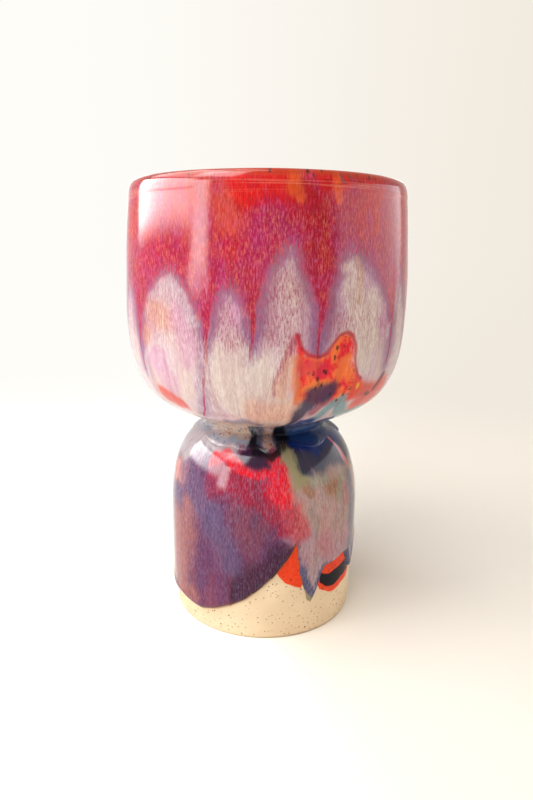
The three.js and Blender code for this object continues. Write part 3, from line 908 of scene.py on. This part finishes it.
def pedestal_clay():
    inside = FOOT_BASE_RADIUS - FOOT_WALL
    ring = np.array([
        (inside, FOOT_EDGE_BEVEL), (inside + FOOT_EDGE_BEVEL, 0), (FOOT_BASE_RADIUS - FOOT_EDGE_BEVEL, 0),
        (FOOT_BASE_RADIUS, FOOT_EDGE_BEVEL),
    ])
    hollow_wall = np.linspace((HOLLOW_RADIUS, FOOT_UPRIGHT_HEIGHT), ring[0], HOLLOW_WALL_STEPS)
    flat = np.vstack([ring[:1], np.linspace(ring[1], ring[2], RING_STEPS)])
    top = np.array([(NECK_RADIUS, SHOULDER_HEIGHT), (NECK_RADIUS, FOOT_HEIGHT), (0, FOOT_HEIGHT)])
    outline = Outline(foot_hollow(), hollow_wall, flat, ring[2:], foot_wall(), foot_shoulder(), top)

    def relief(angle, length):
        above_base = np.interp(length, outline.length, outline.height) > BASE_BAND
        return turning_marks(angle, length, CLAY_MARKS) * above_base

    piece, angle, length, height = turned_body("pedestal_clay", outline, PEDESTAL_ROWS, relief)
    outside = length > Outline(foot_hollow(), hollow_wall).end
    outside &= np.interp(length, outline.length, outline.radius) > FOOT_BASE_RADIUS - UNDERGLAZE_INSET
    uneven = warped(angle, height, FOOT_WALL_RADIUS, UNDERGLAZE_WARP)
    patches = [patch_distance(*uneven, FOOT_WALL_RADIUS, corners) for corners in UNDERGLAZE]
    stroke = patch_distance(*uneven, FOOT_WALL_RADIUS, DARK_STROKE)
    paint(piece, "flow", flow_of(angle, length, FOOT_WALL_RADIUS))
    paint(piece, "underglaze", np.where(outside, np.maximum(np.max(patches, 0), -FAR), -FAR))
    paint(piece, "stroke", np.where(outside, stroke, -FAR))
    paint(piece, "below_coat", np.where(outside, foot_edge(angle) - height, FAR))
    return piece


def bowl_clay():
    seat = np.linspace((0, BOWL_SEAT), (NECK_RADIUS, BOWL_SEAT), SEAT_STEPS)
    outside = (bowl_underside(), bowl_wall(), bowl_lip())
    outline = Outline(seat, *outside, bowl_inside_wall(), bowl_inside_floor())

    def relief(angle, length):
        return 0 * length

    piece, angle, length, _ = turned_body("bowl_clay", outline, BOWL_CLAY_ROWS, relief)
    paint(piece, "flow", flow_of(angle, length, FOOT_WALL_RADIUS))
    return piece


def liner_glaze():
    """The coat inside the bowl, from under the red turn-in to the middle of the floor."""
    covered = BOWL_INSIDE.length[BOWL_INSIDE.length > RIM_TURN_IN - LINER_LAP]
    shown = np.stack(BOWL_INSIDE.raised(covered, LINER), 1)
    hidden = np.stack(BOWL_INSIDE.raised(covered, GLAZE_BACK), 1)
    shown[-1, 0] = hidden[-1, 0] = 0
    outline = Outline(hidden[::-1], shown)

    def relief(angle, length):
        return turning_marks(angle, length, LINER_MARKS) * (length > Outline(hidden[::-1]).end)

    piece, angle, length, height = turned_body("liner_glaze_coat", outline, LINER_ROWS, relief)
    paint(piece, "flow", flow_of(angle, length, INSIDE_RADIUS))
    paint(piece, "level", height)
    paint(piece, "from_axis", outline.raised(length, 0)[0])
    return piece


# Materials

# Specular levels of glaze and of bare clay
GLOSS = 0.18
MATT = 0.1

# Roughness of each surface
GLAZE_ROUGHNESS = 0.07
POOL_ROUGHNESS = 0.06
LINER_ROUGHNESS = 0.08
UNDERGLAZE_ROUGHNESS = 0.3
PEDESTAL_ROUGHNESS = 0.75
BOWL_CLAY_ROUGHNESS = 0.8
SLIP_ROUGHNESS = 0.85

# Specks: how finely and how far their outlines wander, and the share of a speck that is solid
SPECK_FINENESS = 3.0
SPECK_WANDER = (0.45, 0.45, 0.45)
SPECK_CORE = 0.55

# Strokes: how far streaks break up their edges, and the values of a field between which they fade in
STROKE_JITTER = 0.8
STROKE_FADE = (0.1, 0.8)

# Depths of bump in millimetres
STREAK_BUMP = 0.01
GRAIN_BUMP = 0.05
LINER_BUMP = 0.12
POOL_BUMP = 0.2

# Where the flecks and hairs thin out below the arches, as distances from the lip
FLECK_FADE = (42.0, 54.0)


def linear(code):
    """A colour written as #rrggbb, as linear light."""
    parts = [int(code[place:place + 2], 16) / 255 for place in (1, 3, 5)]
    return tuple(c / 12.92 if c <= 0.04045 else ((c + 0.055) / 1.055) ** 2.4 for c in parts) + (1.0,)


class NodeTree:
    """The nodes of a material, the world or a light, with short calls for the few kinds that are used."""

    def __init__(self, owner):
        owner.use_nodes = True
        self.nodes = owner.node_tree.nodes
        self.links = owner.node_tree.links

    def feed(self, socket, value):
        """Gives a socket another socket's output, a number, a vector or a colour written as #rrggbb."""
        if isinstance(value, bpy.types.NodeSocket):
            self.links.new(value, socket)
        else:
            socket.default_value = linear(value) if isinstance(value, str) else value

    def node(self, kind, inputs, **settings):
        """The outputs of a new node with the given inputs and settings."""
        node = self.nodes.new(kind)
        for name, setting in settings.items():
            setattr(node, name, setting)
        for name, value in inputs.items():
            self.feed(node.inputs[name], value)
        return node.outputs

    def math(self, operation, first, second=0.0):
        return self.node("ShaderNodeMath", {0: first, 1: second}, operation=operation)[0]

    def vector_math(self, operation, *vectors):
        return self.node("ShaderNodeVectorMath", dict(enumerate(vectors)), operation=operation)

    def part(self, vector, axis):
        return self.node("ShaderNodeSeparateXYZ", {0: vector})[axis]

    def smooth(self, value, low, high, start=0.0, end=1.0):
        inputs = dict(enumerate((value, low, high, start, end)))
        return self.node("ShaderNodeMapRange", inputs, interpolation_type="SMOOTHSTEP")[0]

    def mix(self, share, first, second, blend="MIX"):
        inputs = {0: share, 6: first, 7: second}
        return self.node("ShaderNodeMix", inputs, data_type="RGBA", blend_type=blend)[2]


class Look(NodeTree):
    """A material, with the steps that the looks are made of."""

    def __init__(self, name, roughness, gloss=GLOSS):
        self.material = bpy.data.materials.new(name)
        super().__init__(self.material)
        self.shader = self.nodes["Principled BSDF"].inputs
        self.shader["Roughness"].default_value = roughness
        self.shader["Specular IOR Level"].default_value = gloss

    def attribute(self, name, output="Fac"):
        return self.node("ShaderNodeAttribute", {}, attribute_name=name)[output]

    def own_place(self):
        """The object's own coordinates."""
        return self.node("ShaderNodeTexCoord", {})["Object"]

    def product(self, first, *others):
        for other in others:
            first = self.math("MULTIPLY", first, other)
        return first

    def rest_of(self, share):
        return self.math("SUBTRACT", 1.0, share)

    def noise(self, vector, scale, detail=3.0, roughness=0.55):
        place = self.vector_math("MULTIPLY", vector, scale)[0]
        inputs = {"Vector": place, "Scale": 1.0, "Detail": detail, "Roughness": roughness}
        return self.node("ShaderNodeTexNoise", inputs)["Fac"]

    def specks(self, vector, scale, share, size):
        """Specks of uneven outline: 1 inside and 0 outside, in a share of the cells of a random pattern."""
        place = self.vector_math("MULTIPLY", vector, scale)[0]
        wander = self.node("ShaderNodeTexNoise", {"Vector": place, "Scale": SPECK_FINENESS})["Color"]
        place = self.vector_math("MULTIPLY_ADD", wander, SPECK_WANDER, place)[0]
        cell = self.node("ShaderNodeTexVoronoi", {"Vector": place, "Scale": 1.0})
        chance = self.node("ShaderNodeSeparateColor", {0: cell["Color"]})[0]
        near = self.smooth(cell["Distance"], size, size * SPECK_CORE)
        return self.product(near, self.math("LESS_THAN", chance, share))

    def lay(self, colour, tint, *shares):
        """A colour with a tint laid over it, as thick as the product of the shares."""
        return self.mix(self.product(*shares), colour, tint)

    def band(self, value, middle, width):
        """1 where a value is at the middle, falling to 0 on both sides."""
        off = self.math("ABSOLUTE", self.math("SUBTRACT", value, middle))
        return self.smooth(off, width, 0.0)

    def jittered(self, value, noise, amount):
        """A value shifted by a noise, so that an edge drawn from it breaks up along the streaks."""
        return self.math("ADD", value, self.product(self.math("SUBTRACT", noise, 0.5), amount))

    def ragged(self, name, noise, amount):
        return self.jittered(self.attribute(name), noise, amount)

    def strokes(self, colour, table, hair):
        """Lays a table of colour strokes over a colour, with soft edges that break up along the streaks."""
        for name, tint, strength, _ in table:
            field = self.ragged(name, hair, STROKE_JITTER)
            colour = self.lay(colour, tint, self.smooth(field, *STROKE_FADE, 0, strength))
        return colour

    def bump(self, height, depth):
        inputs = {"Strength": 1.0, "Distance": depth * MM, "Height": height}
        self.feed(self.shader["Normal"], self.node("ShaderNodeBump", inputs)["Normal"])

    def finish(self, colour):
        self.feed(self.shader["Base Color"], colour)
        return self.material


class Streaks:
    """Flow coordinates, and the hairs, flecks, combed bands and wide drifts of the run glazes."""

    def __init__(self, look):
        self.look = look
        self.flow = look.attribute("flow", "Vector")
        self.along = look.part(self.flow, "Z")
        self.hair = look.noise(self.flow, (2.5, 2.5, 0.5), 3.0, 0.6)
        self.fleck = look.noise(self.flow, (2.8, 2.8, 0.6), 4.0, 0.7)
        self.comb = look.noise(self.flow, (0.5, 0.5, 0.06), 3.0, 0.6)
        self.drift = look.noise(self.flow, (0.08, 0.08, 0.05), 2.0, 0.5)

    def drifting(self, first, second):
        return self.look.mix(self.look.smooth(self.drift, 0.4, 0.6), first, second)

    def combed(self, colour, tint, low, high, strength=0.6):
        return self.look.lay(colour, tint, self.look.smooth(self.comb, low, high, 0, strength))

    def over(self, colour, shade, hair_share, light, light_share):
        """A colour with combed bands and dark hairs in a shade, and short flecks of a light colour."""
        look = self.look
        colour = look.mix(look.smooth(self.comb, 0.6, 0.36, 0, 0.4), colour, shade, "MULTIPLY")
        colour = look.mix(look.smooth(self.hair, 0.6, 0.4, 0, hair_share), colour, shade, "MULTIPLY")
        return look.lay(colour, light, look.smooth(self.fleck, 0.43, 0.68), light_share)

    def bump(self):
        self.look.bump(self.look.math("ADD", self.hair, self.fleck), STREAK_BUMP)


def bowl_coats(look, streaks, red, above):
    """The crimson coat over the pale one, with dull and dark bands along the edge between them."""
    crimson = streaks.drifting("#ac0434", "#be0620")
    crimson = streaks.combed(crimson, "#98064e", 0.52, 0.66)
    crimson = streaks.combed(crimson, "#cc2a1a", 0.46, 0.34)
    pale = streaks.combed(streaks.drifting("#dcc8ca", "#e4d6c8"), "#c8a4bc", 0.5, 0.68)
    colour = look.mix(above, pale, crimson)
    colour = look.lay(colour, "#b88a9e", look.band(red, -4.0, 7.0), 0.5)
    colour = look.lay(colour, "#8a4e80", look.band(red, -0.8, 3.6), 0.7)
    return look.lay(colour, "#9c2060", look.band(red, 3.4, 6.0), 0.5)


def bowl_trails(look, streaks, colour, above):
    """Violet halos and red threads below the runs, and the magenta tail of the orange patch."""
    halo = look.smooth(look.ragged("halo", streaks.hair, 3.0), 3.6, 0.4, 0, 0.5)
    thread = look.smooth(look.ragged("thread", streaks.fleck, 0.9), 1.5, 0.7, 0, 0.8)
    tail = look.smooth(look.ragged("tail", streaks.hair, 4.0), 2.6, 0.2, 0, 0.8)
    colour = look.lay(colour, "#8a6a9c", halo, look.rest_of(above))
    colour = look.lay(colour, "#b01438", thread)
    return look.lay(colour, "#b0284e", tail)


def bowl_flecks(look, streaks, colour, above, patch, blotch):
    """Flecks and hairs: dense by the red edge and in the middle arches, few where the glaze is glassy."""
    from_lip = look.attribute("from_lip")
    tone = look.mix(above, "#983e5c", look.mix(blotch, "#d06c98", "#e67c6c"))
    pale_share = look.smooth(from_lip, *FLECK_FADE, 0.5, 0.1)
    pale_share = look.smooth(look.attribute("madder"), 0.1, 0.6, pale_share, 0.9)
    red_share = look.smooth(look.attribute("red"), 24.0, 4.0, 0.24, 0.58)
    in_patch = look.smooth(patch, -0.4, 1.0)
    in_scarlet = look.smooth(look.attribute("scarlet"), 0.1, 0.7, 0, 0.75)
    glassy = look.math("MAXIMUM", in_scarlet, look.smooth(in_patch, 0, 1, 0, 0.9))
    share = look.product(look.smooth(above, 0, 1, pale_share, red_share), look.rest_of(glassy))
    hairs = look.smooth(in_patch, 0, 1, look.smooth(from_lip, *FLECK_FADE, 0.6, 0.36), 0.15)
    return streaks.over(colour, "#d4b2be", hairs, tone, share)


def lip_marks(look, flow, colour, patch):
    """A brown edge at the lip, light lines painted along the throwing rings as their highlights, and iron
    spots there and in the orange patch.
    """
    from_lip = look.attribute("from_lip")
    off_lip = look.math("ABSOLUTE", from_lip)
    mottle = look.noise(flow, (0.34, 0.34, 0.28), 4.0, 0.6)
    lip = look.jittered(off_lip, mottle, 2.0)
    colour = look.lay(colour, "#a83a1a", look.smooth(lip, 2.6, 0.6, 0, 0.75))
    # Painted highlights: thin light lines along the throwing rings below the lip
    ring_highlights = look.smooth(look.noise(flow, (0.03, 0.03, 3.4), 1.0), 0.52, 0.62)
    colour = look.lay(colour, "#e58a72", ring_highlights, look.band(from_lip, 4.2, 3.0), 0.35)
    spots = look.product(look.specks(flow, (0.7, 0.7, 0.4), 0.7, 0.42), look.smooth(mottle, 0.46, 0.52))
    spotted = look.math("MAXIMUM", look.smooth(off_lip, 4.6, 0.8), look.smooth(patch, 0.4, 1.2))
    return look.lay(colour, "#2a1512", spots, spotted, 0.85)


def bowl_glaze_look():
    look = Look("bowl_run_glaze", GLAZE_ROUGHNESS)
    streaks = Streaks(look)
    hair, fleck = streaks.hair, streaks.fleck
    level_edge = look.attribute("level_edge")
    red = look.ragged("red", hair, look.smooth(level_edge, 0, 1, 2.0, 16.0))
    red = look.jittered(red, fleck, look.smooth(level_edge, 0, 1, 1.5, 9.0))
    above = look.smooth(red, -1.4, 1.6)
    colour = bowl_coats(look, streaks, red, above)
    colour = bowl_trails(look, streaks, colour, above)
    patch = look.jittered(look.ragged("patch", fleck, 1.0), hair, 3.0)
    blotch = look.smooth(look.noise(streaks.flow, (0.18, 0.18, 0.15), 4.0, 0.6), 0.42, 0.58)
    ember = look.mix(blotch, "#ec2434", "#fa7a3e")
    colour = look.lay(colour, ember, look.smooth(patch, -0.9, 0.9))
    colour = look.strokes(colour, BOWL_STROKES, hair)
    rim = look.ragged("patch_rim", fleck, 1.0)
    colour = look.lay(colour, "#b80c26", look.smooth(rim, 0.9, 0.1, 0, 0.75))
    colour = bowl_flecks(look, streaks, colour, above, patch, blotch)
    colour = lip_marks(look, streaks.flow, colour, patch)
    streaks.bump()
    return look.finish(colour)


def foot_base(look, streaks):
    """The foot's plum and mottled coats, and the share that is mottled."""
    plum = streaks.combed(streaks.drifting("#7e3a50", "#663058"), "#5a4870", 0.48, 0.36, 0.45)
    tan = streaks.combed(streaks.drifting("#b0907c", "#ba9e94"), "#c08478", 0.52, 0.66)
    tan = streaks.combed(tan, "#98967e", 0.48, 0.36)
    seam = look.jittered(look.ragged("mottled", streaks.hair, 4.0), streaks.fleck, 2.0)
    mottled = look.smooth(seam, -0.7, 0.7)
    return look.mix(mottled, plum, tan), mottled


def foot_strokes(look, streaks, colour, mottled):
    """Strokes, flecks and accents over the foot's base colour."""
    colour = look.strokes(colour, FOOT_STROKES, streaks.hair)
    light_share = look.smooth(streaks.along, 30.0, 52.0, 0.18, 0.34)
    colour = streaks.over(colour, "#ccb4c2", 0.6, look.mix(mottled, "#9a90b4", "#c8aaac"), light_share)
    return look.strokes(colour, FOOT_ACCENTS, streaks.hair)


def foot_glaze_look():
    look = Look("foot_run_glaze", GLAZE_ROUGHNESS)
    streaks = Streaks(look)
    colour, mottled = foot_base(look, streaks)
    edge = look.ragged("edge", streaks.hair, 3.0)
    colour = look.lay(colour, "#b0a0aa", look.smooth(edge, 9.0, 3.0, 0, 0.55), mottled)
    at_tip = look.smooth(look.attribute("tip"), 0.4, 0.7)
    colour = look.lay(colour, "#3c4872", look.smooth(edge, 2.9, 1.1, 0, 0.9), at_tip, mottled)
    colour = foot_strokes(look, streaks, colour, mottled)
    beside_plum = look.smooth(look.attribute("mottled"), 0.2, -0.6)
    colour = look.lay(colour, "#4e1d16", look.smooth(look.attribute("edge"), 0.8, 0.3, 0, 0.8), beside_plum)
    streaks.bump()
    return look.finish(colour)


def neck_pool_look():
    look = Look("neck_pool_glaze", POOL_ROUGHNESS)
    streaks = Streaks(look)
    below = foot_strokes(look, streaks, *foot_base(look, streaks))
    swirl = look.noise(streaks.flow, (0.6, 0.6, 0.8), 3.0, 0.6)
    soft_swirl = look.math("ADD", look.product(swirl, 0.5), 0.25)
    colour = look.strokes(streaks.drifting("#27304c", "#4a5068"), POOL_STROKES, soft_swirl)
    pale = look.attribute("pool_pale")
    for name in ("pool_mist", "pool_umber"):
        pale = look.math("MAXIMUM", pale, look.attribute(name))
    pale = look.smooth(pale, 0.3, 0.6)
    colour = look.lay(colour, "#8e98ac", look.smooth(swirl, 0.5, 0.62, 0, 0.6), pale)
    for scale, share, tint in ((0.55, 0.45, "#b85030"), (0.9, 0.5, "#3a3c50")):
        colour = look.lay(colour, tint, look.specks(streaks.flow, (scale,) * 3, share, 0.36), pale, 0.8)
    inside = look.smooth(look.ragged("from_edge", swirl, 3.0), 0.6, 2.6)
    look.bump(swirl, POOL_BUMP)
    return look.finish(look.mix(inside, below, colour))


def clay_base(look):
    """Bare speckled clay: its coordinates and its colour."""
    flow = look.attribute("flow", "Vector")
    grain = look.noise(flow, (1.8, 1.8, 1.8), 4.0, 0.6)
    drift = look.noise(flow, (0.06, 0.06, 0.08), 2.0)
    colour = look.mix(look.smooth(drift, 0.3, 0.7), "#efd6b2", "#e6caa6")
    colour = look.lay(colour, "#c9a880", look.smooth(grain, 0.55, 0.75, 0, 0.35))
    colour = look.lay(colour, "#8a5e3e", look.specks(flow, (0.8, 0.8, 0.8), 0.75, 0.25), 0.75)
    colour = look.lay(colour, "#6b4229", look.specks(flow, (0.42, 0.42, 0.42), 0.5, 0.16), 0.8)
    look.bump(grain, GRAIN_BUMP)
    return flow, colour


def pedestal_clay_look():
    look = Look("speckled_stoneware", PEDESTAL_ROUGHNESS, MATT)
    flow, colour = clay_base(look)
    grain = look.noise(flow, (1.1, 1.1, 1.1), 3.0)
    orange = look.mix(look.smooth(grain, 0.35, 0.65), "#e63c1c", "#f04c24")
    orange = look.lay(orange, "#6b2212", look.specks(flow, (0.45, 0.45, 0.45), 0.5, 0.18), 0.7)
    covered = look.smooth(look.ragged("underglaze", grain, 0.7), -0.15, 0.25)
    colour = look.lay(colour, orange, covered)
    colour = look.lay(colour, "#0c0e16", look.smooth(look.ragged("stroke", grain, 0.8), -0.2, 0.3))
    colour = look.lay(colour, "#a86a3c", look.smooth(look.attribute("below_coat"), 0.7, 0.0, 0, 0.6))
    roughness = look.smooth(covered, 0, 1, PEDESTAL_ROUGHNESS, UNDERGLAZE_ROUGHNESS)
    look.feed(look.shader["Roughness"], roughness)
    return look.finish(colour)


def plain_clay_look():
    look = Look("plain_stoneware", BOWL_CLAY_ROUGHNESS, MATT)
    return look.finish(clay_base(look)[1])


def slip_look():
    look = Look("dried_slip", SLIP_ROUGHNESS, MATT)
    grain = look.noise(look.own_place(), (900, 900, 900), 4.0)
    look.bump(grain, GRAIN_BUMP)
    return look.finish(look.mix(grain, "#cfae84", "#dcc19a"))


def liner_glaze_look():
    look = Look("liner_run_glaze", LINER_ROUGHNESS)
    streaks = Streaks(look)
    level = look.jittered(look.ragged("level", streaks.hair, 40.0), streaks.comb, 60.0)
    colour = look.lay(streaks.drifting("#ccb6ba", "#d4c4b6"), "#8a6ba2", look.band(level, 128, 12.0))
    colour = look.lay(colour, "#b30c34", look.smooth(level, 126, 134))
    colour = streaks.over(colour, "#ccb4be", 0.6, "#a8606a", 0.3)
    swirl = look.noise(look.own_place(), (140, 140, 140), 4.0, 0.6)
    from_axis = look.jittered(look.ragged("from_axis", streaks.comb, 24.0), swirl, 20.0)
    pool = look.mix(look.smooth(swirl, 0.38, 0.6), "#667c92", "#a9b3b8")
    colour = look.lay(colour, pool, look.smooth(from_axis, 29.0, 17.0, 0, 0.9))
    look.bump(swirl, LINER_BUMP)
    return look.finish(colour)


def place_piece(piece, material, slot, *nodes):
    piece.data.materials.append(material)
    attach(piece, "root")
    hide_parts(*nodes)


def dress_goblet():
    place_piece(pedestal_clay(), pedestal_clay_look(), "stoneware", "pedestal_body")
    place_piece(bowl_clay(), plain_clay_look(), "stoneware", "bowl_body")
    place_piece(liner_glaze(), liner_glaze_look(), "liner_glaze", "liner_glaze")
    place_piece(bowl_glaze(), bowl_glaze_look(), "red_glaze", "red_glaze", "pale_glaze")
    place_piece(foot_glaze(), foot_glaze_look(), "plum_glaze", "plum_glaze", "mottled_glaze")
    place_piece(neck_pool(), neck_pool_look(), "pool_glaze", "neck_pool_glaze")
    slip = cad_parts["slip_joint"]
    slip.data.materials.clear()
    slip.data.materials.append(slip_look())


# Camera, floor and light

# The camera: place, lens and sensor in millimetres, angles in degrees, and the view's near end in metres
CAMERA_PLACE = (-3.03, -218.4, 126.4)
CAMERA_PITCH = 13.1
CAMERA_ROLL = 0.55
CAMERA_LENS = 27.86
CAMERA_SENSOR = 36.0
CAMERA_SHIFT_X = 0.0125
CAMERA_CLIP = 0.01

# The backdrop: its two tones, the rightward directions between which they change, and the sky's strength
FLOOR_COLOUR = "#fffdf8"
FLOOR_SHADE = "#f1e9dd"
SHADE_SPREAD = (-0.3, 0.5)
SKY_LIGHT = 0.27

# The floor, in metres: half its width, and the distances between which it takes on the backdrop's tone
FLOOR_HALF = 12.0
FLOOR_FADE = (0.1, 0.5)

# Panels that light, in degrees and metres: azimuth, elevation, width, height and radiance
PANEL_DISTANCE = 1.2
FILLS = {
    "window_light": (-88, 24, 1.4, 0.6, 4.6),
    "front_light": (-40, 50, 0.9, 0.8, 4.0),
    "overhead_light": (20, 78, 1.0, 1.0, 1.7),
    "right_light": (92, 18, 1.6, 0.8, 0.9),
}

# Panels that show as reflections: the same, a roll, and the share of the height that fades at the bottom
SHARP = 0.001
CARDS = {
    "window": (-92, 18, 1.38, 0.55, 21.0, 4, 0.3),
    "window_above": (-92, 52, 1.2, 0.75, 9.0, 0, SHARP),
    "window_high": (-75, 76, 0.9, 0.5, 6.5, 0, SHARP),
    "window_strip": (-53, 11, 0.27, 0.6, 21.0, 0, 0.3),
    "skylight": (-46, 47, 0.6, 0.7, 18.0, 0, 0.3),
    "right_wall": (92, 4, 1.84, 0.7, 3.0, 0, 0.8),
    "back_wall": (180, 10, 0.8, 0.6, 1.6, 0, 0.4),
}


def set_camera():
    camera = bpy.data.cameras.new("camera")
    camera.lens = CAMERA_LENS
    camera.sensor_width = CAMERA_SENSOR
    camera.shift_x = CAMERA_SHIFT_X
    camera.clip_start = CAMERA_CLIP
    place = Matrix.Translation([along * MM for along in CAMERA_PLACE])
    tilt = Matrix.Rotation(math.radians(90 - CAMERA_PITCH), 4, "X")
    roll = Matrix.Rotation(math.radians(CAMERA_ROLL), 4, "Z")
    bpy.context.scene.camera = add_object("camera", camera, place @ tilt @ roll)


def backdrop_tone(tree, direction):
    """White towards the window on the left, and a painted shade, a little creamier, towards the right."""
    return tree.mix(tree.smooth(tree.part(direction, "X"), *SHADE_SPREAD), FLOOR_COLOUR, FLOOR_SHADE)


def seen_rays(tree):
    """1 for the rays that show the backdrop: those of the camera, and those that mirror or pass light."""
    path = tree.node("ShaderNodeLightPath", {})
    mirrored = tree.math("MAXIMUM", path["Is Camera Ray"], path["Is Glossy Ray"])
    return tree.math("MAXIMUM", mirrored, path["Is Transmission Ray"])


def floor_look():
    """Pale floor: it takes the object's shadow near the object, and has the backdrop's tone far from it."""
    material = bpy.data.materials.new("pale_floor")
    tree = NodeTree(material)
    tree.nodes.clear()
    place = tree.node("ShaderNodeNewGeometry", {})["Position"]
    tone = backdrop_tone(tree, tree.vector_math("NORMALIZE", place)["Vector"])
    far = tree.smooth(tree.vector_math("LENGTH", place)["Value"], *FLOOR_FADE)
    diffuse = tree.node("ShaderNodeBsdfDiffuse", {"Color": tone})[0]
    glow = tree.node("ShaderNodeEmission", {"Color": tone})[0]
    share = tree.math("MULTIPLY", far, seen_rays(tree))
    mixed = tree.node("ShaderNodeMixShader", {0: share, 1: diffuse, 2: glow})[0]
    tree.node("ShaderNodeOutputMaterial", {"Surface": mixed})
    return material


def add_floor():
    corners = [(x * FLOOR_HALF, y * FLOOR_HALF, 0) for x, y in ((-1, -1), (1, -1), (1, 1), (-1, 1))]
    mesh = bpy.data.meshes.new("floor")
    mesh.from_pydata(corners, [], [(0, 1, 2, 3)])
    mesh.materials.append(floor_look())
    floor = add_object("floor", mesh)


def set_world():
    """An even sky: pale where it is seen, and dim as light."""
    world = bpy.data.worlds.new("studio")
    tree = NodeTree(world)
    light = tree.nodes["Background"]
    light.inputs["Color"].default_value = linear(FLOOR_COLOUR)
    light.inputs["Strength"].default_value = SKY_LIGHT
    tone = backdrop_tone(tree, tree.node("ShaderNodeTexCoord", {})["Generated"])
    seen = tree.node("ShaderNodeBackground", {"Color": tone})[0]
    mixed = tree.node("ShaderNodeMixShader", {0: seen_rays(tree), 1: light.outputs[0], 2: seen})[0]
    tree.feed(tree.nodes["World Output"].inputs["Surface"], mixed)
    bpy.context.scene.world = world


def add_panel(name, azimuth, elevation, width, height, radiance, roll=0.0):
    """A flat light that faces the middle of the bowl from an azimuth and an elevation."""
    lamp = bpy.data.lights.new(name, "AREA")
    lamp.shape = "RECTANGLE"
    lamp.size = width
    lamp.size_y = height
    lamp.energy = radiance * math.pi * width * height
    turn, rise = math.radians(azimuth), math.radians(elevation)
    level = PANEL_DISTANCE * math.cos(rise)
    up = BELLY_HEIGHT * MM + PANEL_DISTANCE * math.sin(rise)
    place = Matrix.Translation((level * math.sin(turn), -level * math.cos(turn), up))
    facing = Matrix.Rotation(turn, 4, "Z") @ Matrix.Rotation(math.radians(90) - rise, 4, "X")
    return add_object(name, lamp, place @ facing @ Matrix.Rotation(math.radians(roll), 4, "Z"))


def add_card(name, *panel, fade):
    """A panel that only shows as a reflection in the glaze, with a lower edge that fades."""
    card = add_panel(name, *panel)
    card.visible_diffuse = False
    tree = NodeTree(card.data)
    rising = tree.part(tree.node("ShaderNodeNewGeometry", {})["Parametric"], "Y")
    tree.feed(tree.nodes["Emission"].inputs["Strength"], tree.smooth(rising, 0.0, fade))


def add_lights():
    for name, panel in FILLS.items():
        add_panel(name, *panel).visible_glossy = False
    for name, (*panel, fade) in CARDS.items():
        add_card(name, *panel, fade=fade)


bpy.context.scene.view_settings.view_transform = "Standard"
set_camera()
add_floor()
set_world()
add_lights()
dress_goblet()
